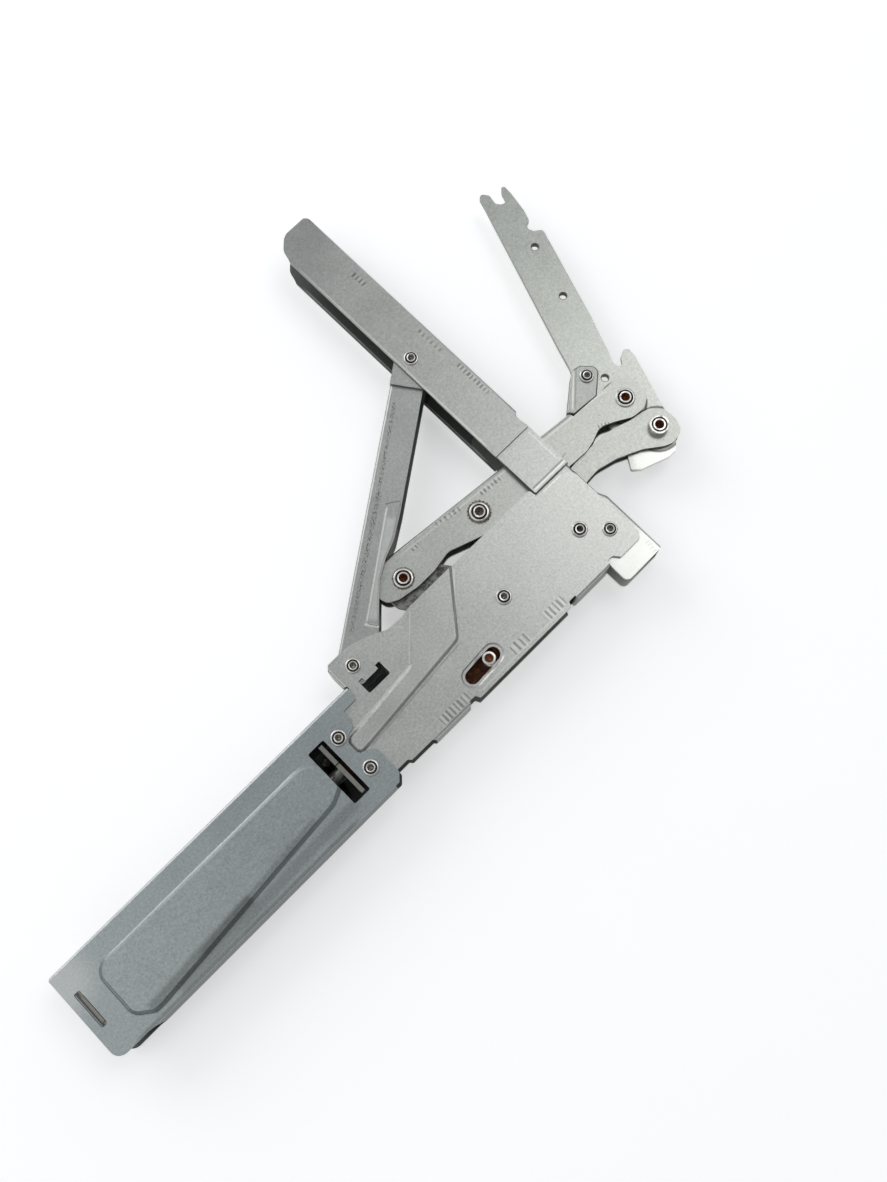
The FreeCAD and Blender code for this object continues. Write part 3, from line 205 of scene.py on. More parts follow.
class FinishDesk:
    """Node tree of one material, with one method that makes every node."""

    end = "ShaderNodeOutputMaterial"

    def __init__(self, name: str) -> None:
        """Starts an empty material of that name."""
        self.material = bpy.data.materials.new(name)
        self.material.use_nodes = True
        self.tree = self.material.node_tree
        self.tree.nodes.clear()

    def seen(self) -> Signal:
        """One where the camera looks straight at this, or sees it in metal or through glass.

        Returns:
            The sum of the three kinds of ray.
        """
        straight = self.add("ShaderNodeLightPath", output="Is Camera Ray")
        outputs = straight.socket.node.outputs
        mirrored = Signal(self, outputs["Is Glossy Ray"])
        return straight + mirrored + Signal(self, outputs["Is Transmission Ray"])

    def add(self, kind: str, settings: Optional[Dict[str, Any]] = None,
            inputs: Optional[Dict[Any, Any]] = None, output: Union[int, str] = 0) -> Signal:
        """Makes a node, sets it and links or fills its sockets.

        Args:
            kind: the node's type.
            settings: the node's own settings, set before its sockets.
            inputs: values or signals by socket name or number.
            output: the output that is wanted.

        Returns:
            That output.
        """
        node = self.tree.nodes.new(kind)
        for name, value in (settings or {}).items():
            setattr(node, name, value)
        for name, value in (inputs or {}).items():
            if isinstance(value, Signal):
                self.tree.links.new(value.socket, node.inputs[name])
            else:
                node.inputs[name].default_value = value
        return Signal(self, node.outputs[output])

    def place(self) -> Signal:
        """Place on the piece in drawing millimetres, as a vector.

        Returns:
            The place.
        """
        spot = self.add("ShaderNodeTexCoord", output="Object")
        shift = (WEB_FACE, WEB_MIDDLE, 0.0)
        settings = {"operation": "MULTIPLY_ADD"}
        scale = (1.0 / MM, 1.0 / MM, 1.0 / MM)
        return self.add("ShaderNodeVectorMath", settings, {0: spot, 1: scale, 2: shift})

    def parts(self, vector: Signal) -> Tuple[Signal, Signal, Signal]:
        """The three numbers of a vector.

        Args:
            vector: the vector's output.

        Returns:
            Its X, Y and Z.
        """
        first = self.add("ShaderNodeSeparateXYZ", None, {0: vector}, "X")
        node = first.socket.node
        return first, Signal(self, node.outputs["Y"]), Signal(self, node.outputs["Z"])

    def aligned(self, place: Signal, origin: Point, turn: float) -> Tuple[Signal, Signal]:
        """Distances from a point, measured along a direction and across it.

        Args:
            place: place in drawing millimetres.
            origin: the point.
            turn: the direction in radians.

        Returns:
            The distance along the direction and the one across it.
        """
        x, y, _ = self.parts(place)
        cosine, sine = math.cos(turn), math.sin(turn)
        east, north = x - origin[0], y - origin[1]
        along = east * cosine + north * sine
        return along, north * cosine - east * sine

    def vector(self, x: Value, y: Value, z: Value) -> Signal:
        """A vector of three values."""
        return self.add("ShaderNodeCombineXYZ", None, {"X": x, "Y": y, "Z": z})

    def noise(self, place: Signal, per_mm: float, detail: float = 2.0, rough: float = 0.5) -> Signal:
        """Soft noise over a place.

        Args:
            place: where it is read, in millimetres.
            per_mm: features for each millimetre.
            detail: number of finer layers.
            rough: strength of the finer layers.

        Returns:
            A value around one half.
        """
        inputs = {"Vector": place, "Scale": per_mm, "Detail": detail, "Roughness": rough}
        return self.add("ShaderNodeTexNoise", None, inputs, "Fac")

    def stretched(self, place: Signal, turn: float, along: float, across: float) -> Signal:
        """Noise drawn out along one direction, as rolling marks are.

        Args:
            place: where it is read, in millimetres.
            turn: direction of the marks in degrees.
            along: features for each millimetre along them.
            across: features for each millimetre across them.

        Returns:
            A value around one half.
        """
        inputs = {"Vector": place, "Rotation": (0.0, 0.0, -math.radians(turn)),
                  "Scale": (along, across, 0.4)}
        mapped = self.add("ShaderNodeMapping", {"vector_type": "POINT"}, inputs)
        return self.noise(mapped, 1.0, 3.0, 0.6)

    def mix(self, share: Value, under: Any, over: Any) -> Signal:
        """Colour between two colours.

        Args:
            share: how much of the second shows.
            under: the first colour or its signal.
            over: the second colour or its signal.

        Returns:
            The mixed colour.
        """
        settings = {"data_type": "RGBA", "blend_type": "MIX", "clamp_factor": True}
        inputs = {"Factor": share, "A": self.paint(under), "B": self.paint(over)}
        return self.colour_mix(settings, inputs)

    def tint(self, colour: Any, strength: Signal) -> Signal:
        """Colour made darker or lighter by a value.

        Args:
            colour: the colour or its signal.
            strength: what each channel is multiplied by.

        Returns:
            The new colour.
        """
        grey = self.vector(strength, strength, strength)
        settings = {"data_type": "RGBA", "blend_type": "MULTIPLY", "clamp_factor": True}
        return self.colour_mix(settings, {"Factor": 1.0, "A": self.paint(colour), "B": grey})

    def colour_mix(self, settings: Dict[str, Any], inputs: Dict[str, Any]) -> Signal:
        """A Mix node on colours, whose sockets share their names with those for numbers.

        Args:
            settings: the node's settings.
            inputs: Factor, A and B.

        Returns:
            The node's colour.
        """
        by_number = {0: inputs["Factor"], 6: inputs["A"], 7: inputs["B"]}
        return self.add("ShaderNodeMix", settings, by_number, 2)

    @staticmethod
    def paint(colour: Any) -> Any:
        """The colour with its alpha, or the signal as it is."""
        return colour if isinstance(colour, Signal) else (*colour, 1.0)

    def surface(self, colour: Any, metallic: Value, roughness: Value,
                height: Optional[Signal] = None, lift_mm: float = 0.02) -> bpy.types.Material:
        """Ends the material with a surface shader.

        Args:
            colour: base colour or its signal.
            metallic: how metallic the surface is.
            roughness: how dull it is.
            height: relief from nought to one, where there is one.
            lift_mm: height of the relief in millimetres.

        Returns:
            The finished material.
        """
        inputs = {"Base Color": self.paint(colour), "Metallic": metallic, "Roughness": roughness}
        if height is not None:
            relief = {"Strength": 1.0, "Distance": lift_mm * MM, "Height": height}
            inputs["Normal"] = self.add("ShaderNodeBump", None, relief)
        shader = self.add("ShaderNodeBsdfPrincipled", None, inputs)
        self.add_output(shader)
        return self.material

    def add_output(self, shader: Signal) -> None:
        """Links a shader to the material's output."""
        node = self.tree.nodes.new(self.end)
        self.tree.links.new(shader.socket, node.inputs["Surface"])


class RoomDesk(FinishDesk):
    """Node tree of the room's light."""

    end = "ShaderNodeOutputWorld"

    def __init__(self, name: str) -> None:
        """Starts an empty world of that name and gives it to the scene."""
        world = bpy.data.worlds.new(name)
        bpy.context.scene.world = world
        world.use_nodes = True
        self.tree = world.node_tree
        self.tree.nodes.clear()


@dataclass(frozen=True)
class ToolMarks:
    """Row of short upright dents that a bending tool leaves beside a fold."""

    centre: Point
    half_length: float
    half_width: float
    pitch: float
    turn: float = 0.0
    pale: float = 0.45
    dark: float = 0.45
    wander = 4.5
    pale_side = (0.1, 0.8)
    dark_side = (-0.8, -0.1)

    def masks(self, desk: FinishDesk, place: Signal) -> Tuple[Signal, Signal]:
        """Where the dents are pale and where they are dark.

        Args:
            desk: the material's desk.
            place: place in drawing millimetres.

        Returns:
            Share of the pale strokes and share of the dark ones.
        """
        along, across = desk.aligned(place, self.centre, math.radians(self.turn))
        inside = abs(along).fall(self.half_length * 0.8, self.half_length)
        ragged = desk.noise(place, 0.9, 2.0) - 0.5
        edge = abs(across + ragged * self.half_width)
        patch = inside * edge.fall(self.half_width * 0.7, self.half_width)
        wobble = desk.noise(desk.vector(along, 0.0, 0.0), 0.7, 1.0) * self.wander
        wave = along * (math.tau / self.pitch) + wobble
        stripe = wave.math("SINE", wave)
        pale = patch * stripe.ramp(*self.pale_side) * self.pale
        return pale, patch * stripe.fall(*self.dark_side) * self.dark


@dataclass(frozen=True)
class ScuffAndLightLine:
    """Line along a fold or an edge, for scratches where a tool has slid and for painted highlights and
    painted shade.
    """

    start: Point
    end: Point
    width: float
    strength: float = 0.75
    grain: float = 1.1
    pale: bool = False
    whole: bool = False
    pale_gaps = (0.30, 0.44)
    dark_gaps = (0.46, 0.60)

    def mask(self, desk: FinishDesk, place: Signal) -> Signal:
        """Where the line shows.

        Args:
            desk: the material's desk.
            place: place in drawing millimetres.

        Returns:
            The line's strength on it and nought elsewhere.
        """
        run = Vector(self.end) - Vector(self.start)
        along, across = desk.aligned(place, self.start, math.atan2(run.y, run.x))
        middle = run.length / 2
        inside = abs(along - middle).fall(middle * 0.9, middle)
        line = inside * abs(across).fall(self.width * 0.3, self.width)
        if self.whole:
            return line * self.strength
        flecks = desk.noise(desk.vector(along * 0.8, across * 1.6, 0.0), self.grain, 3.0, 0.7)
        broken = flecks.ramp(*(self.pale_gaps if self.pale else self.dark_gaps))
        return line * broken * self.strength


@dataclass(frozen=True)
class Halo:
    """Ragged round patch or ring: rust at a pin, painted shade in a hole, under a part's end and at a
    far end, a painted highlight, and lighter patches.
    """

    centre: Point
    radius: float
    spread: float = 1.5
    strength: float = 0.85
    tone: Colour = RUST
    soft: float = 0.6
    dulls: float = 0.3
    ring: float = 0.0

    def mask(self, desk: FinishDesk, place: Signal) -> Signal:
        """Where the patch is.

        Args:
            desk: the material's desk.
            place: place in drawing millimetres.

        Returns:
            The patch's strength on it and nought beyond its ragged edge.
        """
        x, y, _ = desk.parts(place)
        east, north = x - self.centre[0], y - self.centre[1]
        away = (east * east + north * north) ** 0.5
        ragged = (desk.noise(place, 1.3, 4.0, 0.7) - 0.5) * (2.0 * self.spread)
        if self.ring:
            away = abs(away - self.radius) + (self.radius - self.ring)
        patch = (away + ragged).fall(self.radius - self.soft, self.radius + self.soft)
        return patch * self.strength


@dataclass(frozen=True)
class ZincSheet:
    """Rolled zinc-plated sheet: fine grain, dark flecks, cloudy tone and worn marks, with painted shade
    on inner faces and side walls, and painted highlights and painted shade along folds and edges.
    """

    name: str
    tone: Colour
    roughness: float = 0.36
    grain: float = 1.6
    grain_depth: float = 0.30
    cloud: float = 0.12
    flecks: float = 0.35
    turn: float = 0.0
    inner_face: float = 7.6
    inner_shade: float = 0.45
    relief_mm: float = 0.010
    dents: Tuple[ToolMarks, ...] = ()
    # Scratches, and lines of painted highlight and painted shade.
    scuffs_and_light_lines: Tuple[ScuffAndLightLine, ...] = ()
    halos: Tuple[Halo, ...] = ()
    # Dark colour of flecks, tool marks and scratches, and of painted shade lines.
    grime_and_shade: Colour = (0.055, 0.052, 0.045)
    # Pale colour of rubbed tool marks and specks, and of painted highlight lines.
    bright: Colour = RUBBED_AND_HIGHLIGHT
    edge_shade: float = 0.50
    cloud_scale = 0.07
    rolled_scale = (0.03, 1.1)
    rolled_share = 0.07
    fleck_step = (0.63, 0.72)
    spark_step = (0.70, 0.78)
    spark_share = 0.35
    dent_depth = 3.0
    line_depth = 1.5
    wall_room = 1.6
    wall_share = 0.55

    def build(self) -> bpy.types.Material:
        """Makes the material.

        Returns:
            The material.
        """
        desk = FinishDesk(self.name)
        place = desk.place()
        facing = self.facing(desk)
        grain = desk.noise(place, self.grain, 3.0, 0.65)
        cloud = desk.noise(place, self.cloud_scale, 3.0, 0.55)
        rolled = desk.stretched(place, self.turn, *self.rolled_scale)
        colour = self.plain_colour(desk, place, grain, cloud, rolled)
        # Painted shade: inner faces and deep walls are darkened by inner_shade, side walls by
        # edge_shade.
        inside = self.inside(desk.parts(place)[2], facing)
        edge = abs(facing).ramp(0.25, 0.6, 1.0 - self.edge_shade, 0.0)
        colour = desk.tint(colour, (1.0 - inside * (1.0 - self.inner_shade)) * (1.0 - edge))
        dull = self.roughness + (grain - 0.5) * 0.16 + (cloud - 0.5) * 0.10 + inside * 0.12
        relief = grain * 0.6 + rolled * 0.4
        level_face = abs(facing).ramp(0.4, 0.8)
        for dent in self.dents:
            pale, dark = dent.masks(desk, place)
            colour = desk.mix(pale * level_face, colour, self.bright)
            colour = desk.mix(dark * level_face, colour, self.grime_and_shade)
            relief = relief - dark * self.dent_depth
        # Scratches, and painted highlights and painted shade along folds and edges.
        for line_mark in self.scuffs_and_light_lines:
            worn = line_mark.mask(desk, place) * level_face
            colour = desk.mix(worn, colour, self.bright if line_mark.pale else self.grime_and_shade)
            relief = relief if line_mark.whole else relief - worn * self.line_depth
        # Rust, painted shade, painted highlights and lighter patches.
        for halo in self.halos:
            patch = halo.mask(desk, place)
            colour = desk.mix(patch, colour, halo.tone)
            dull = dull + patch * halo.dulls
        metallic = 0.92 - inside * 0.25
        return desk.surface(colour, metallic, dull, relief, self.relief_mm)

    def plain_colour(self, desk: FinishDesk, place: Signal, grain: Signal, cloud: Signal,
                     rolled: Signal) -> Signal:
        """Colour of the sheet before its shade and its marks.

        Args:
            desk: the material's desk.
            place: place in drawing millimetres.
            grain: the sheet's grain.
            cloud: its cloudy tone.
            rolled: its rolling marks.

        Returns:
            The colour.
        """
        fine = desk.noise(place, 0.9, 2.0, 0.8)
        speckle = (grain + fine - 1.0) * (2.0 * self.grain_depth)
        level = 1.0 + speckle + (cloud - 0.5) * (2.0 * self.cloud)
        level = level + (rolled - 0.5) * self.rolled_share
        fleck = desk.noise(place, 0.95, 4.0, 0.75).ramp(*self.fleck_step) * self.flecks
        colour = desk.mix(fleck, desk.tint(self.tone, level), self.grime_and_shade)
        spark = desk.noise(place, 1.35, 2.0, 0.6).ramp(*self.spark_step) * self.spark_share
        return desk.mix(spark, colour, self.bright)

    @staticmethod
    def facing(desk: FinishDesk) -> Signal:
        """How far a face looks up or down, from the surface's own normal."""
        normal = desk.add("ShaderNodeNewGeometry", output="Normal")
        return desk.parts(normal)[2]

    def inside(self, height: Signal, facing: Signal) -> Signal:
        """Share of painted inner shade: faces that look at the mid-plane, and walls deep inside.

        Args:
            height: distance from the mid-plane in millimetres.
            facing: how far the face looks up or down.

        Returns:
            One on inner faces and nought on outer ones.
        """
        inward = (height * facing).fall(-0.4, 0.0)
        wall = abs(facing).fall(0.3, 0.7)
        deep = abs(height).fall(self.inner_face - self.wall_room, self.inner_face)
        return inward.top(wall * deep * self.wall_share)


@dataclass(frozen=True)
class TurnedSteel:
    """Pin steel with fine turning rings and dark patches; the head's groove has its own finish of grime
    and painted shade.
    """

    name: str
    tone: Colour = (0.84, 0.83, 0.79)
    roughness: float = 0.30
    darkening: Colour = (0.06, 0.045, 0.03)
    soil_share: float = 0.35

    def build(self) -> bpy.types.Material:
        """Makes the material.

        Returns:
            The material.
        """
        desk = FinishDesk(self.name)
        place = desk.place()
        grain = desk.noise(place, 2.6, 3.0, 0.6)
        patch = desk.noise(place, 0.5, 3.0, 0.65)
        colour = desk.tint(self.tone, 0.86 + grain * 0.28)
        darkening = patch.ramp(0.50, 0.66) * self.soil_share
        colour = desk.mix(darkening, colour, self.darkening)
        dull = self.roughness + (grain - 0.5) * 0.15 + darkening * 0.4
        return desk.surface(colour, 0.95, dull, grain, 0.012)


@dataclass(frozen=True)
class Recess:
    """Bottom of a pin's recess: clean steel, dark grease or flaking rust."""

    name: str
    state: Bore

    def build(self) -> bpy.types.Material:
        """Makes the material.

        Returns:
            The material.
        """
        tones = {
            Bore.CLEAN: ((0.86, 0.85, 0.80), (0.16, 0.14, 0.11), 0.30),
            Bore.GREASY: ((0.42, 0.39, 0.33), (0.04, 0.03, 0.022), 0.38),
            Bore.RUSTY: ((0.36, 0.10, 0.022), (0.09, 0.026, 0.010), 0.80),
        }
        light, dark, dull = tones[self.state]
        desk = FinishDesk(self.name)
        place = desk.place()
        flake = desk.noise(place, 1.8, 4.0, 0.75)
        colour = desk.mix(flake.ramp(0.40, 0.62), dark, light)
        metallic = 0.8 if self.state is Bore.CLEAN else 0.2
        return desk.surface(colour, metallic, dull + (flake - 0.5) * 0.2, flake, 0.06)


@dataclass(frozen=True)
class WornSteel:
    """Plain inner steel with grease, and rust where it has run dry."""

    name: str
    tone: Colour
    grease: Colour
    share: float
    roughness: float
    grain: float = 0.8

    def build(self) -> bpy.types.Material:
        """Makes the material.

        Returns:
            The material.
        """
        desk = FinishDesk(self.name)
        place = desk.place()
        patch = desk.noise(place, 0.35, 4.0, 0.7)
        grain = desk.noise(place, self.grain * 2.0, 3.0, 0.7)
        colour = desk.tint(self.tone, 0.75 + grain * 0.5)
        dirty = (patch + (grain - 0.5) * 0.5).ramp(0.62 - self.share * 0.4, 0.72 - self.share * 0.4)
        colour = desk.mix(dirty * 0.9, colour, self.grease)
        dull = self.roughness + dirty * 0.2 + (grain - 0.5) * 0.15
        return desk.surface(colour, 0.85 - dirty * 0.5, dull, grain + dirty * 0.8, 0.03)


class Bench:
    """Modelling helpers that work on the piece in hand through edit mode."""

    @staticmethod
    def clear() -> None:
        """Leaves edit mode and deselects every object."""
        if bpy.context.object is not None and bpy.context.object.mode != "OBJECT":
            bpy.ops.object.mode_set(mode="OBJECT")
        bpy.ops.object.select_all(action="DESELECT")

    @staticmethod
    def take(piece: bpy.types.Object) -> None:
        """Makes one object the selected and active one."""
        Bench.clear()
        piece.select_set(True)
        bpy.context.view_layer.objects.active = piece

    @staticmethod
    def turned(name: str, profile: Sequence[Point], centre: Point, steps: int = 40) -> bpy.types.Object:
        """Turned piece: a point is extruded along the profile and spun about the pin's axis.

        Args:
            name: the piece's name.
            profile: radius and height of each corner in millimetres, from the bottom up.
            centre: the pin's place in the drawing frame.
            steps: facets around it.

        Returns:
            The piece, with its place in its mesh.
        """
        Bench.clear()
        first = Vector((profile[0][0], 0.0, profile[0][1])) * MM
        bpy.ops.mesh.primitive_plane_add(size=MM, location=(0.0, 0.0, 0.0))
        piece = bpy.context.object
        piece.name = name
        bpy.ops.object.mode_set(mode="EDIT")
        bpy.ops.mesh.select_all(action="SELECT")
        bpy.ops.mesh.merge(type="CENTER")
        bpy.ops.transform.translate(value=first)
        for before, after in zip(profile, profile[1:]):
            step = Vector((after[0] - before[0], 0.0, after[1] - before[1])) * MM
            bpy.ops.mesh.extrude_region_move(TRANSFORM_OT_translate={"value": step})
        bpy.ops.mesh.select_all(action="SELECT")
        bpy.ops.mesh.spin(steps=steps, angle=math.tau, center=(0.0, 0.0, 0.0), axis=(0.0, 0.0, 1.0))
        bpy.ops.mesh.select_all(action="SELECT")
        bpy.ops.mesh.remove_doubles(threshold=WELD)
        bpy.ops.mesh.normals_make_consistent(inside=False)
        bpy.ops.object.mode_set(mode="OBJECT")
        piece.location = in_part(centre)
        Bench.settle(piece)
        return piece

    @staticmethod
    def settle(piece: bpy.types.Object, angle: float = 35.0) -> None:
        """Applies the piece's place to its mesh and smooths its soft edges.

        Args:
            piece: the piece.
            angle: edges sharper than this stay sharp, in degrees.
        """
        Bench.take(piece)
        bpy.ops.object.transform_apply(location=True, rotation=True, scale=True)
        bpy.ops.object.shade_smooth_by_angle(angle=math.radians(angle))
        Bench.clear()

    @staticmethod
    def bevel(piece: bpy.types.Object, width: float, segments: int = 2) -> None:
        """Rounds the piece's sharp edges and applies the modifier.

        Args:
            piece: the piece.
            width: width of the rounding in millimetres.
            segments: facets across it.
        """
        Bench.take(piece)
        rounding = piece.modifiers.new("rounding", "BEVEL")
        rounding.width = width * MM
        rounding.segments = segments
        rounding.limit_method = "ANGLE"
        rounding.angle_limit = math.radians(30.0)
        bpy.ops.object.modifier_apply(modifier=rounding.name)

    @staticmethod
    def dress(piece: bpy.types.Object, finish: bpy.types.Material) -> None:
        """Gives the whole piece one finish."""
        piece.data.materials.clear()
        piece.data.materials.append(finish)

    @staticmethod
    def dress_node(name: str, finish: bpy.types.Material) -> None:
        """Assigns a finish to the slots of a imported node."""
        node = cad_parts[name]
        if not node.material_slots:
            node.data.materials.append(finish)
        for slot in node.material_slots:
            slot.material = finish


@dataclass
class RolledPin:
    """Tubular pin with a rolled head on each side and a recess that ends in a cone."""

    node: str
    body: str
    centre: Point
    seat: float
    head: float
    shank: float
    bore: float
    state: Bore
    rise: float = 1.35
    depth: float = 1.9
    margin = 0.02

    def groove(self) -> Point:
        """Inner and outer radius of the groove between the head's two rings."""
        room = self.head - self.bore
        return self.bore + 0.32 * room, self.bore + 0.58 * room

    def half(self) -> List[Point]:
        """Corners of the upper half, from the shank to the cone's tip.

        Returns:
            Radius and height of each corner.
        """
        seat, head, bore = self.seat, self.head, self.bore
        lip, groove = self.groove()
        floor, top, bottom = seat + 0.35, seat + self.rise, seat - self.depth
        return [
            (self.shank, seat), (head, seat), (head, seat + 0.50), (head - 0.10, seat + 0.72),
            (head - 0.30, seat + 0.86), (groove + 0.18, seat + 0.88), (groove, seat + 0.70),
            (groove - 0.10, floor), (lip + 0.12, floor), (lip, top - 0.30), (lip - 0.14, top),
            (bore + 0.08, top - 0.06), (bore, top - 0.30), (bore - 0.12, bottom + 0.5),
            (bore * 0.55, bottom + 0.1), (0.0, bottom + 0.45),
        ]

    def build(self, steel: bpy.types.Material, darkening: bpy.types.Material,
              recess: bpy.types.Material) -> bpy.types.Object:
        """Models the pin and puts it in its node's place.

        Args:
            steel: finish of the heads and the shank.
            darkening: finish of the groove.
            recess: finish of the recess.

        Returns:
            The pin.
        """
        upper = self.half()
        lower = [(radius, -height) for radius, height in reversed(upper)]
        piece = Bench.turned(self.node + "_turned", lower + upper, self.centre)
        for finish in (steel, recess, darkening):
            piece.data.materials.append(finish)
        spot = in_part(self.centre)
        lip, groove = self.groove()
        for face in piece.data.polygons:
            away = (Vector(face.center[:2]) - Vector(spot[:2])).length / MM
            if away < self.bore - self.margin:
                face.material_index = 1
            elif lip - self.margin < away < groove and abs(face.center.z) > self.seat * MM:
                # The groove's dark finish is grime and painted shade.
                face.material_index = 2
        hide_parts(self.node)
        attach(piece, self.body)
        LOG.info("%s turned, %d faces", self.node, len(piece.data.polygons))
        return piece


@dataclass
class TallPin(RolledPin):
    """Tail pin: a tube that stands proud of the lower links, with a grooved rim."""

    stand: float = 2.9

    def half(self) -> List[Point]:
        """Corners of the upper half, from the shank to the cone's tip.

        Returns:
            Radius and height of each corner.
        """
        seat, head, bore = self.seat, self.head, self.bore
        top, bottom, shoulder = seat + self.stand, seat - self.depth, self.shank + 0.4
        lip, groove = self.groove()
        return [
            (self.shank, seat), (shoulder, seat), (shoulder, top - 0.4), (head, top), (head, top + 0.25),
            (head - 0.25, top + 0.5), (groove + 0.10, top + 0.55), (groove, top + 0.15),
            (lip + 0.08, top + 0.15), (lip, top + 0.55), (bore + 0.15, top + 0.58),
            (bore, top + 0.35), (bore - 0.10, bottom + 1.9), (bore * 0.5, bottom + 1.5),
            (0.0, bottom + 1.7),
        ]


@dataclass
class PlainTube(RolledPin):
    """Slide pin: a plain tube with rounded ends and a plug of rust."""

    def groove(self) -> Point:
        """A plain tube has no groove, so both radii are the bore's."""
        return self.bore, self.bore

    def half(self) -> List[Point]:
        """Corners of the upper half, from the middle to the cone's tip.

        Returns:
            Radius and height of each corner.
        """
        end, out, bore = self.seat + 0.6, self.shank, self.bore
        return [
            (out, 0.5), (out, end - 0.35), (out - 0.14, end - 0.08), (out - 0.40, end),
            (bore + 0.18, end), (bore, end - 0.20), (bore - 0.10, end - 0.9),
            (bore * 0.5, end - 1.15), (0.0, end - 1.0),
        ]


@dataclass
class StakedRing:
    """Ring of metal that the staking tool has raised in teeth around a link's pin."""

    name: str
    centre: Point
    inner: float
    outer: float
    teeth: int
    seat: float = LINK_FACE
    rise: float = 0.22
    wall: float = 0.30
    root: float = 0.35
    wear: float = 0.18
    rounding: float = 0.06
    clearance: float = 0.01

    def build(self, finish: bpy.types.Material) -> bpy.types.Object:
        """Models the ring on the link's face.

        Args:
            finish: finish of the ring.

        Returns:
            The ring.
        """
        Bench.clear()
        count = self.teeth * 4
        bpy.ops.mesh.primitive_circle_add(vertices=count, radius=self.outer * MM, fill_type="NGON",
                                          location=(0.0, 0.0, 0.0))
        piece = bpy.context.object
        piece.name = self.name
        for index, vertex in enumerate(piece.data.vertices):
            low = index % 4 in (0, 3)
            worn = self.wear * math.sin(index * 1.7) ** 2
            reach = self.inner + self.root if low else self.outer - worn
            vertex.co *= reach / self.outer
        bpy.ops.object.mode_set(mode="EDIT")
        bpy.ops.mesh.select_all(action="SELECT")
        bpy.ops.mesh.inset(thickness=self.wall * MM, depth=0.0)
        bpy.ops.mesh.delete(type="FACE")
        bpy.ops.mesh.select_all(action="SELECT")
        lift = {"value": (0.0, 0.0, self.rise * MM)}
        bpy.ops.mesh.extrude_region_move(TRANSFORM_OT_translate=lift)
        bpy.ops.mesh.select_all(action="SELECT")
        bpy.ops.mesh.normals_make_consistent(inside=False)
        bpy.ops.object.mode_set(mode="OBJECT")
        piece.location = in_part(self.centre, self.seat + self.clearance)
        Bench.bevel(piece, self.rounding, 1)
        Bench.settle(piece)
        Bench.dress(piece, finish)
        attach(piece, "upper_link_body")
        LOG.info("%s modelled", self.name)
        return piece


@dataclass
class Unit:
    """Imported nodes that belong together, each with the name of its finish."""

    nodes: Tuple[Tuple[str, str], ...] = ()

    def dress(self, finishes: Dict[str, bpy.types.Material]) -> None:
        """Gives the unit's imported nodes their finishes."""
        for node, finish in self.nodes:
            Bench.dress_node(node, finishes[finish])


@dataclass
class SpringUnit(Unit):
    """Spring case with its spring, anchor plate, seat and rod."""

    nodes: Tuple[Tuple[str, str], ...] = (
        ("spring_case", "case"), ("spring_anchor", "inner"), ("spring_seat", "inner"),
        ("guide_rod", "lever"),
    )
    coil_radius: float = 7.2
    wire_radius: float = 1.6
    turns: float = 17.0
    axis_y: float = -3.3
    seat_x: float = -94.3
    anchor_x: float = -220.9
    travel: float = 5.70
    end_gap: float = 0.35
    facets: int = 28
    wire_facets: int = 14
    smooth_angle: float = 60.0

    def model_spring(self, finish: bpy.types.Material) -> bpy.types.Object:
        """Winds the spring from a wire's section.

        Args:
            finish: finish of the wire.

        Returns:
            The spring.
        """
        Bench.clear()
        length = self.seat_x - self.anchor_x - 2 * (self.wire_radius + self.end_gap)
        bpy.ops.mesh.primitive_circle_add(vertices=self.wire_facets, radius=self.wire_radius * MM,
                                          fill_type="NOTHING", location=(0.0, 0.0, 0.0))
        piece = bpy.context.object
        piece.name = "main_spring_wound"
        bpy.ops.object.mode_set(mode="EDIT")
        bpy.ops.mesh.select_all(action="SELECT")
        bpy.ops.transform.translate(value=(0.0, self.coil_radius * MM, 0.0))
        bpy.ops.object.mode_set(mode="OBJECT")
        coil = piece.modifiers.new("coil", "SCREW")
        coil.axis = "X"
        coil.angle = math.tau
        coil.screw_offset = length / self.turns * MM
        coil.iterations = int(self.turns)
        coil.steps = self.facets
        coil.render_steps = self.facets
        bpy.ops.object.modifier_apply(modifier=coil.name)
        bpy.ops.object.mode_set(mode="EDIT")
        bpy.ops.mesh.select_all(action="SELECT")
        bpy.ops.mesh.remove_doubles(threshold=WELD)
        bpy.ops.mesh.fill_holes(sides=0)
        bpy.ops.mesh.normals_make_consistent(inside=False)
        bpy.ops.object.mode_set(mode="OBJECT")
        start = self.anchor_x + self.wire_radius + self.end_gap
        piece.location = in_part((start, self.axis_y))
        Bench.settle(piece, self.smooth_angle)
        Bench.dress(piece, finish)
        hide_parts("main_spring")
        fixed_end = tuple(in_part((self.anchor_x, self.axis_y)))
        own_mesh(piece)
        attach(piece, "frame")
        LOG.info("spring wound, %d faces", len(piece.data.polygons))
        return piece


@dataclass
class BodyUnit(Unit):
    """Body, bracket, arm and strut: the folded sheets that don't move."""

    nodes: Tuple[Tuple[str, str], ...] = (
        ("body_shell", "body"), ("front_bracket", "bracket"), ("arm_channel", "arm"), ("strut", "strut"),
        ("front_lever_spacer_front", "lever"), ("front_lever_spacer_rear", "lever"),
        ("rear_lever_spacer_front", "lever"), ("rear_lever_spacer_rear", "lever"),
    )


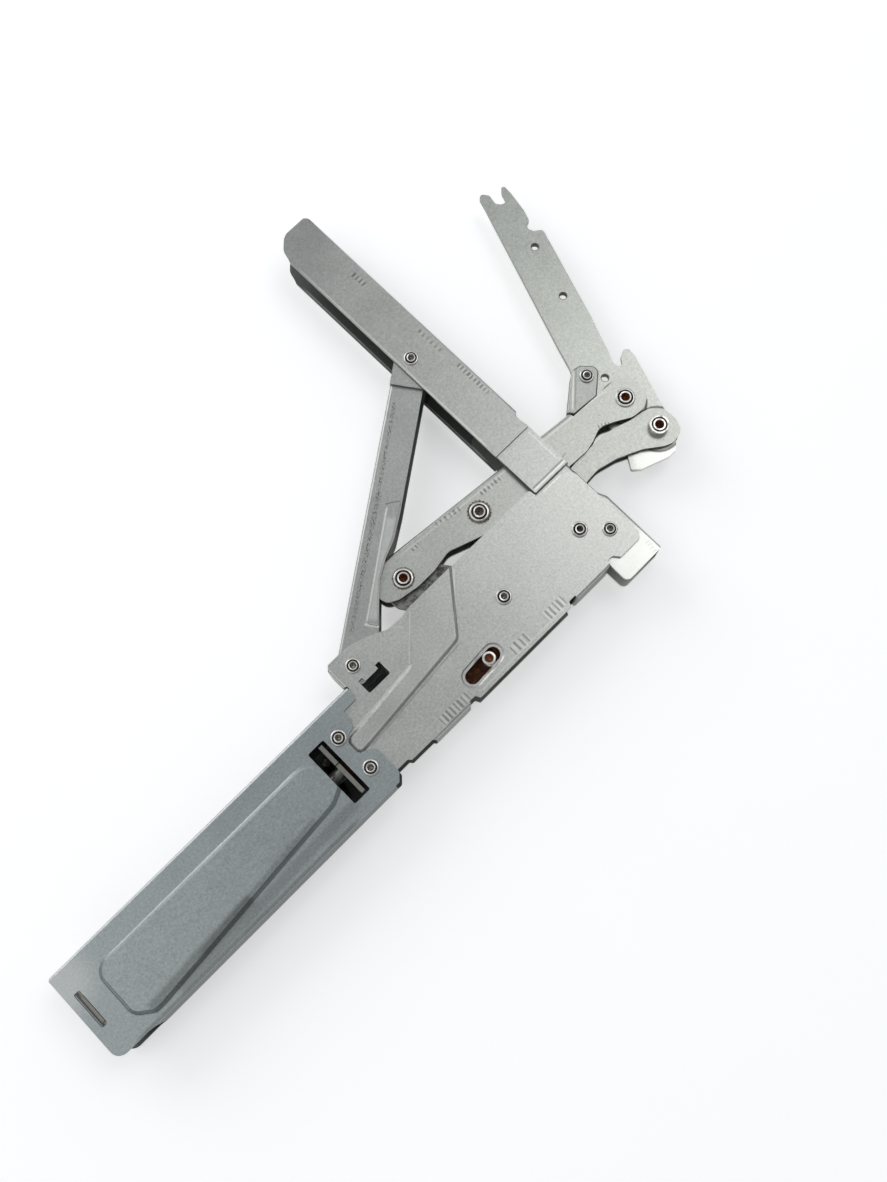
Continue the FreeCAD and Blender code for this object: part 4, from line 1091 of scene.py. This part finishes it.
@dataclass
class LinkageUnit(Unit):
    """Levers, links, blade, clip and what pushes the spring."""

    nodes: Tuple[Tuple[str, str], ...] = (
        ("front_lever", "lever"), ("rear_lever", "lever"), ("upper_link", "link"),
        ("lower_link_front", "lower_link"), ("lower_link_rear", "lower_link"),
        ("door_blade", "blade"), ("lock_clip", "clip"), ("push_rod", "rusty"),
        ("thrust_link_front", "rusty"), ("thrust_link_rear", "rusty"),
        ("rear_link_spacer_front", "lever"), ("rear_link_spacer_rear", "lever"),
        ("front_link_spacer_front", "lever"), ("front_link_spacer_rear", "lever"),
        ("blade_spacer_front", "lever"), ("blade_spacer_rear", "lever"),
    )
    rings: Tuple[StakedRing, ...] = (
        StakedRing("front_link_staking", FRONT_LINK_PIN, 4.1, 5.15, 20),
        StakedRing("rear_link_staking", REAR_LINK_PIN, 4.1, 4.75, 18),
    )

    def model_rings(self, finish: bpy.types.Material) -> None:
        """Models the staked rings of the upper link."""
        for ring in self.rings:
            ring.build(finish)


@dataclass
class PinSet:
    """Every pin and rivet of the hinge."""

    fine: float = 1.3
    wide: float = 1.8
    pins: List[RolledPin] = field(default_factory=list)

    def __post_init__(self) -> None:
        """Lists the pins with the state of their recesses."""
        base, upper, fine, wide = "frame", "upper_link_body", self.fine, self.wide
        clean, greasy, rusty = Bore.CLEAN, Bore.GREASY, Bore.RUSTY
        crank_seat = LOWER_LINK_FACE + 0.1
        self.pins = [
            RolledPin("rear_lever_pin", base, REAR_PIN, BODY_FACE, 3.3, 2.5, fine, clean),
            RolledPin("front_lever_pin", base, FRONT_PIN, BODY_FACE, 3.3, 2.5, fine, greasy),
            RolledPin("bracket_rivet", base, BRACKET_RIVET, BODY_FACE, 3.1, 2.2, fine, clean),
            RolledPin("strut_foot_rivet", base, STRUT_FOOT, BODY_FACE, 3.1, 2.2, fine, clean),
            RolledPin("strut_head_rivet", base, STRUT_HEAD, ARM_FACE, 3.1, 2.2, fine, clean),
            RolledPin("case_rivet_upper", base, CASE_RIVET_UPPER, CASE_FACE, 3.3, 2.2, fine, clean),
            RolledPin("case_rivet_lower", base, CASE_RIVET_LOWER, CASE_FACE, 3.3, 2.2, fine, clean),
            RolledPin("rear_link_pin", upper, REAR_LINK_PIN, LINK_FACE, 4.2, 3.0, wide, rusty),
            RolledPin("front_link_pin", upper, FRONT_LINK_PIN, LINK_FACE, 4.2, 3.0, wide, greasy),
            RolledPin("blade_pin", upper, BLADE_PIN, LINK_FACE, 4.2, 3.0, wide, rusty),
            RolledPin("crank_pin", "rear_lever_body", CRANK_PIN, crank_seat, 3.3, 2.5, fine, greasy),
            RolledPin("clip_pin", "blade_body", CLIP_PIN, CLIP_FACE, 3.1, 2.0, 1.2, clean),
            TallPin("tail_pin", "lower_link_body", TAIL_PIN, LOWER_LINK_FACE, 4.2, 3.0, wide, rusty),
            PlainTube("slide_pin", "slide_body", SLIDE_PIN, BODY_FACE, 2.8, 2.8, 1.7, rusty),
        ]

    def build(self, steel: bpy.types.Material, darkening: bpy.types.Material,
              recesses: Dict[Bore, bpy.types.Material]) -> None:
        """Turns every pin.

        Args:
            steel: finish of the heads.
            darkening: finish of the grooves.
            recesses: finish of the recess for each state.
        """
        for pin in self.pins:
            pin.build(steel, darkening, recesses[pin.state])


@dataclass
class Studio:
    """Pale floor, soft lamps and the camera at the photograph's angle."""

    station: Tuple[float, float, float] = (-0.14327, -0.04934, 0.49840)
    turn: Tuple[float, float, float] = (12.32, 1.276, -44.870)
    focal_px: float = 1250.0
    picture_px: float = 1182.0
    sensor_mm: float = 36.0
    floor_half: float = 4.0
    floor_lift: float = 0.44
    # Painted shade on the floor under the case and the body: where it lies, how soft its edge is and how
    # dark it is.
    shade_patches: Tuple[Tuple[Point, Point], ...] = (
        ((-150.0, 0.0), (80.0, 16.0)), ((-15.0, 2.5), (54.0, 19.5)),
    )
    shade_edge: float = 1.0
    shade_depth: float = 0.8
    room_dim: float = 0.26
    room_bright: float = 0.56
    lamps: Tuple[Tuple[str, Tuple[float, float, float], float, float], ...] = (
        ("key_softbox", (0.44, 0.10, 1.05), 0.50, 1.45),
        ("window_softbox", (-0.25, 1.30, 0.75), 0.90, 5.0),
        ("far_softbox", (-0.72, 0.22, 1.05), 0.60, 0.85),
    )

    def build(self, lowest: float) -> None:
        """Sets the scene around the object.

        Args:
            lowest: height of the object's lowest point in metres.
        """
        self.make_floor(lowest)
        self.make_world()
        for name, place, size, power in self.lamps:
            self.make_lamp(name, place, size, power)
        self.make_camera()
        bpy.context.scene.view_settings.view_transform = "Standard"

    def make_floor(self, lowest: float) -> None:
        """Pale floor, with painted shade under the case and the body, whose windows show it.

        Args:
            lowest: height of the object's lowest point in metres.
        """
        Bench.clear()
        bpy.ops.mesh.primitive_plane_add(size=2 * self.floor_half, location=(0.0, 0.0, lowest - 0.0002))
        floor = bpy.context.object
        floor.name = "pale_floor"
        desk = FinishDesk("pale_floor")
        place = desk.place()
        speck = desk.noise(place, 0.02, 2.0)
        x, y, _ = desk.parts(place)
        # Painted shade: the floor is darker and not lifted under the case and the body.
        under_shade: Value = 0.0
        for middle, half in self.shade_patches:
            within_x = abs(x - middle[0]).fall(half[0] - self.shade_edge, half[0])
            within_y = abs(y - middle[1]).fall(half[1] - self.shade_edge, half[1])
            under_shade = (within_x * within_y).top(under_shade)
        shade = (0.99 + speck * 0.02) * (1.0 - under_shade * self.shade_depth)
        inputs = {"Base Color": desk.tint((0.90, 0.90, 0.90), shade), "Roughness": 0.8,
                  "Emission Color": (1.0, 1.0, 1.0, 1.0),
                  "Emission Strength": desk.seen() * self.floor_lift * (1.0 - under_shade)}
        desk.add_output(desk.add("ShaderNodeBsdfPrincipled", None, inputs))
        Bench.dress(floor, desk.material)
        floor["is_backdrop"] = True
        Bench.clear()

    def make_world(self) -> None:
        """Even room light, a little brighter on one side, in front of a white backdrop."""
        desk = RoomDesk("room")
        heading = desk.add("ShaderNodeTexCoord", output="Generated")
        side = desk.parts(heading)[1].ramp(-0.9, 0.9, self.room_dim, self.room_bright)
        straight = desk.add("ShaderNodeLightPath", output="Is Camera Ray")
        level = side * (1.0 - straight) + straight
        colour = desk.mix(straight, (0.93, 0.96, 1.0), (1.0, 1.0, 1.0))
        desk.add_output(desk.add("ShaderNodeBackground", None, {"Color": colour, "Strength": level}))

    @staticmethod
    def make_lamp(name: str, place: Tuple[float, float, float], size: float, power: float) -> None:
        """Square soft lamp that looks at the object.

        Args:
            name: the lamp's name.
            place: its place in metres.
            size: its side in metres.
            power: its power in watts.
        """
        Bench.clear()
        bpy.ops.object.light_add(type="AREA", location=place)
        lamp = bpy.context.object
        lamp.name = name
        lamp.data.shape = "SQUARE"
        lamp.data.size = size
        lamp.data.energy = power
        aim = Vector((-0.06, 0.04, 0.0)) - Vector(place)
        lamp.rotation_euler = aim.to_track_quat("-Z", "Y").to_euler()
        Bench.clear()

    def make_camera(self) -> None:
        """Camera at the photograph's place, with its angle of view."""
        Bench.clear()
        turn = tuple(math.radians(angle) for angle in self.turn)
        bpy.ops.object.camera_add(location=self.station, rotation=turn)
        camera = bpy.context.object
        camera.data.sensor_fit = "AUTO"
        camera.data.sensor_width = self.sensor_mm
        camera.data.lens = self.sensor_mm * self.focal_px / self.picture_px
        camera.data.clip_start = 0.01
        bpy.context.scene.camera = camera
        Bench.clear()


def fold_highlight(start: Point, end: Point, width: float, strength: float) -> ScuffAndLightLine:
    """Painted highlight along a fold, broken in places."""
    return ScuffAndLightLine(start, end, width, strength, pale=True)


def shade_line(start: Point, end: Point, width: float, strength: float) -> ScuffAndLightLine:
    """Unbroken dark line of painted shade along a fold or an edge."""
    return ScuffAndLightLine(start, end, width, strength, whole=True)


def bright_line(start: Point, end: Point, width: float, strength: float) -> ScuffAndLightLine:
    """Unbroken bright line along an edge that catches the light."""
    return ScuffAndLightLine(start, end, width, strength, pale=True, whole=True)


def shaded_hole(centre: Point, strength: float = 0.8) -> Halo:
    """Painted shade around a small hole of the blade, whose wall lies in shade."""
    return Halo(centre, 1.85, 0.2, strength, PAINTED_SHADE_TONE, 0.2)


def case_sheet() -> ZincSheet:
    """Finish of the spring case: bluish, with painted highlights along the pressed panel and the case's
    edges, painted shade along the panel's lower side, and a painted highlight at its far end.
    """
    lines = (
        # Painted highlights along the pressed panel's upper edge and the case's far-left edge.
        fold_highlight((-207.0, 8.6), (-106.0, 8.6), 0.55, 0.55),
        fold_highlight((-211.6, 4.0), (-211.6, -12.0), 0.45, 0.45),
        # Painted shade along the panel's lower side and the case's lower edge.
        shade_line((-207.0, -17.8), (-150.0, -14.4), 3.6, 0.42),
        shade_line((-180.0, -16.4), (-112.0, -10.4), 2.2, 0.30),
        shade_line((-220.0, -22.2), (-100.0, -22.2), 1.2, 0.35),
        shade_line((-196.0, -20.2), (-95.0, -16.6), 3.2, 0.26),
        # Painted highlight along the case's upper edge.
        fold_highlight((-226.0, 18.0), (-92.0, 18.0), 0.6, 0.50),
    )
    # Painted highlight on the case's far end.
    end_highlight = Halo((-224.0, 13.0), 11.0, 1.0, 0.30, RUBBED_AND_HIGHLIGHT, soft=7.0, dulls=0.0)
    return ZincSheet("case_sheet", (0.385, 0.42, 0.418), 0.38, grain=1.5, grain_depth=0.34,
                     inner_face=8.8, inner_shade=0.35, scuffs_and_light_lines=lines, halos=(end_highlight,))


def body_sheet() -> ZincSheet:
    """Finish of the body: the palest sheet, with painted highlights and painted shade along its ribs and
    edges, and rust at the slot.
    """
    dents = (
        ToolMarks((10.8, -17.6), 6.0, 2.6, 2.1),
        ToolMarks((-9.0, -18.0), 5.0, 2.5, 2.4),
        ToolMarks((-45.5, -17.9), 8.5, 2.4, 2.0),
    )
    lines = (
        ScuffAndLightLine((17.5, -6.5), (28.0, -8.9), 0.30, 0.35),
        ScuffAndLightLine((-20.0, 8.0), (-8.0, -3.0), 0.22, 0.30),
        # Painted highlights along the lower bend, an upper edge and the rib edges.
        fold_highlight((-35.0, -20.2), (15.0, -20.2), 0.55, 0.35),
        fold_highlight((42.0, 19.2), (53.0, 19.2), 0.5, 0.45),
        fold_highlight((-30.4, 22.8), (-46.2, 7.0), 0.5, 0.50),
        fold_highlight((-46.0, 7.0), (-80.0, 4.0), 0.5, 0.50),
        fold_highlight((-5.4, 22.8), (-25.8, 1.6), 0.5, 0.45),
        fold_highlight((-26.2, 1.2), (-80.0, -3.4), 0.5, 0.45),
        # Painted shade beside the lower rib edge.
        shade_line((-24.4, -0.6), (-80.0, -5.2), 0.6, 0.25),
    )
    slot_rust = Halo((-25.5, -13.6), 3.6, spread=0.8, strength=0.6)
    return ZincSheet("body_sheet", (0.565, 0.57, 0.54), 0.34, inner_face=7.4, dents=dents,
                     scuffs_and_light_lines=lines, halos=(slot_rust,))


def bracket_sheet() -> ZincSheet:
    """Finish of the front bracket: painted shade and a painted highlight along its edge over the body,
    and a lighter patch at its foot.
    """
    lines = (
        # Painted shade and a painted highlight along the fold over the body, and a painted highlight
        # along the tongue's fold.
        shade_line((40.0, 23.3), (58.4, 23.3), 0.45, 0.55),
        bright_line((40.0, 22.3), (58.4, 22.3), 0.50, 0.60),
        fold_highlight((56.6, 25.0), (56.6, 42.0), 0.5, 0.35),
    )
    dent = ToolMarks((56.8, -27.0), 4.0, 1.1, 1.6, 80.0, **MOSTLY_DARK)
    foot_patch = Halo((50.0, -28.0), 13.0, 1.0, 0.68, RUBBED_AND_HIGHLIGHT, soft=4.0, dulls=-0.02)
    return ZincSheet("bracket_sheet", (0.52, 0.525, 0.50), 0.33, inner_face=6.0,
                     dents=(dent,), scuffs_and_light_lines=lines, halos=(foot_patch,))


def arm_sheet() -> ZincSheet:
    """Finish of the arm: painted highlights along both folds and painted shade at its far end."""
    dents = (
        ToolMarks((54.4, 140.0), 5.0, 1.4, 2.0, 90.0, **MOSTLY_DARK),
        ToolMarks((56.0, 99.0), 8.0, 1.0, 2.4, 90.0, pale=0.08, dark=0.40),
        ToolMarks((56.8, 74.0), 10.0, 1.2, 1.9, 90.0, **MOSTLY_DARK),
    )
    lines = (
        # Painted highlights along both folds.
        fold_highlight((39.9, 46.0), (39.9, 164.0), 0.5, 0.55),
        fold_highlight((58.8, 54.0), (58.8, 174.0), 0.6, 0.40),
    )
    # Painted shade at the arm's far end.
    far_end_shade = Halo((46.0, 178.0), 24.0, 1.0, 0.30, (0.22, 0.225, 0.215), soft=12.0, dulls=0.0)
    return ZincSheet("arm_sheet", (0.485, 0.495, 0.465), turn=90.0, inner_face=9.0,
                     inner_shade=0.25, dents=dents, scuffs_and_light_lines=lines, halos=(far_end_shade,))


def strut_sheet() -> ZincSheet:
    """Finish of the strut: dark drawing marks along its back, and painted highlights along its rib and
    its lower edge.
    """
    lines = (
        ScuffAndLightLine((28.0, 91.1), (-7.5, 65.4), 1.1),
        ScuffAndLightLine((-4.0, 67.6), (-42.3, 41.1), 1.4),
        ScuffAndLightLine((-40.0, 42.6), (-54.0, 32.6), 1.1, 0.6),
        # Painted highlights along the rib and its lower end, painted shade at the rib's top end, and a
        # bright band beside the rib.
        fold_highlight((-5.8, 61.0), (-46.8, 31.2), 0.55, 0.80),
        bright_line((-47.2, 32.0), (-43.4, 26.6), 0.8, 0.85),
        shade_line((-6.4, 61.8), (-1.0, 58.2), 0.45, 0.50),
        bright_line((-8.0, 56.4), (-44.6, 30.0), 3.0, 0.36),
    )
    return ZincSheet("strut_sheet", (0.44, 0.45, 0.43), turn=STRUT_TURN, inner_face=6.2,
                     inner_shade=0.3, scuffs_and_light_lines=lines)


def link_sheet() -> ZincSheet:
    """Finish of the upper link: dents along its fold and rust around two of its pins."""
    dents = (
        ToolMarks((30.0, 37.2), 6.5, 1.2, 1.9, -5.0, **MOSTLY_DARK),
        ToolMarks((8.5, 40.2), 7.5, 1.1, 2.2, -10.0, **MOSTLY_DARK),
        ToolMarks((-10.5, 40.3), 2.5, 0.9, 1.8, **MOSTLY_DARK),
        ToolMarks((81.7, 22.1), 3.0, 1.0, 1.5, -30.0, **MOSTLY_DARK),
    )
    lines = (
        # Painted highlight along the link's fold.
        fold_highlight((-20.0, 42.6), (96.0, 31.9), 0.5, 0.30),
        ScuffAndLightLine((40.0, 28.8), (62.0, 24.2), 1.6, 0.35, grain=0.7),
    )
    rust = (Halo(FRONT_LINK_PIN, 4.9, 0.9, 0.65), Halo(REAR_LINK_PIN, 4.5, 0.7, 0.5))
    return ZincSheet("link_sheet", (0.50, 0.51, 0.475), inner_face=4.1, dents=dents,
                     scuffs_and_light_lines=lines, halos=rust, flecks=0.55)


def blade_plate() -> ZincSheet:
    """Finish of the blade: painted shade in its holes and painted shadow under the links' ends, and a
    lighter patch at its foot.
    """
    halos = (
        # Painted shade in the small holes.
        shaded_hole((121.0, 100.0)), shaded_hole((113.05, 75.5)), shaded_hole((98.6, 37.0), 0.65),
        Halo((89.0, -3.0), 11.0, 0.8, 0.62, RUBBED_AND_HIGHLIGHT, soft=3.0, dulls=-0.02),
        # Painted shadow under the upper link's end and the lower links' end.
        Halo((96.1, 24.1), 9.6, 0.3, 0.85, PAINTED_SHADE_TONE, soft=0.45, dulls=0.2, ring=0.45),
        Halo(TAIL_PIN, 9.7, 0.3, 0.70, PAINTED_SHADE_TONE, soft=0.45, dulls=0.2, ring=0.45),
    )
    return ZincSheet("blade_plate", (0.51, 0.525, 0.485), 0.34, turn=BLADE_TURN, inner_face=0.1,
                     halos=halos)


def clip_sheet() -> ZincSheet:
    """Finish of the lock clip, with the light and the shade of its long fold."""
    lines = (
        # Painted highlight and painted shade along the long fold.
        bright_line((91.3, 48.6), (77.8, 36.2), 0.45, 0.50),
        shade_line((92.2, 48.0), (78.7, 35.6), 0.45, 0.30),
    )
    return ZincSheet("clip_sheet", (0.41, 0.42, 0.395), turn=BLADE_TURN, inner_face=2.3,
                     scuffs_and_light_lines=lines)


def make_finishes() -> Dict[str, bpy.types.Material]:
    """Builds every finish of the hinge once.

    Returns:
        The materials by the names that the units use.
    """
    finishes = {
        "case": case_sheet(),
        "body": body_sheet(),
        "bracket": bracket_sheet(),
        "arm": arm_sheet(),
        "strut": strut_sheet(),
        "link": link_sheet(),
        "lower_link": ZincSheet("lower_link_sheet", (0.50, 0.505, 0.47), inner_face=2.3, flecks=0.6),
        "blade": blade_plate(),
        "clip": clip_sheet(),
        # Painted shade: the anchor plate and the seat inside the case get a darker tone.
        "inner": ZincSheet("inner_shaded_sheet", (0.27, 0.265, 0.235), 0.42, inner_face=0.1, flecks=0.6),
        "lever": WornSteel("lever_steel", (0.30, 0.30, 0.275), (0.13, 0.12, 0.10), 0.30, 0.42),
        "rusty": WornSteel("rusty_steel", (0.22, 0.085, 0.03), (0.07, 0.024, 0.010), 0.55, 0.62, 1.3),
        "spring": WornSteel("spring_wire", (0.13, 0.10, 0.085), (0.035, 0.022, 0.018), 0.5, 0.38),
        "staking": WornSteel("staking_steel", (0.40, 0.37, 0.32), (0.10, 0.045, 0.02), 0.55, 0.45, 1.2),
        # The pin grooves' dark finish is grime and painted shade.
        "darkening": WornSteel("groove_grime_and_shade", (0.10, 0.085, 0.07), (0.035, 0.025, 0.018), 0.5, 0.55),
        "pin": TurnedSteel("pin_steel"),
    }
    return {name: finish.build() for name, finish in finishes.items()}


def main() -> None:
    """Builds the looks in order."""
    logging.basicConfig(level=logging.INFO, format="%(name)s: %(message)s")
    solid_box = [list(corner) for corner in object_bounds()]
    Bench.clear()
    finishes = make_finishes()
    recesses = {state: Recess("recess_" + state.value, state).build() for state in Bore}
    spring_unit, linkage = SpringUnit(), LinkageUnit()
    for unit in (spring_unit, BodyUnit(), linkage):
        unit.dress(finishes)
    spring_unit.model_spring(finishes["spring"])
    linkage.model_rings(finishes["staking"])
    PinSet().build(finishes["pin"], finishes["darkening"], recesses)
    Studio().build(solid_box[0][2])


if __name__ == "__main__":
    main()
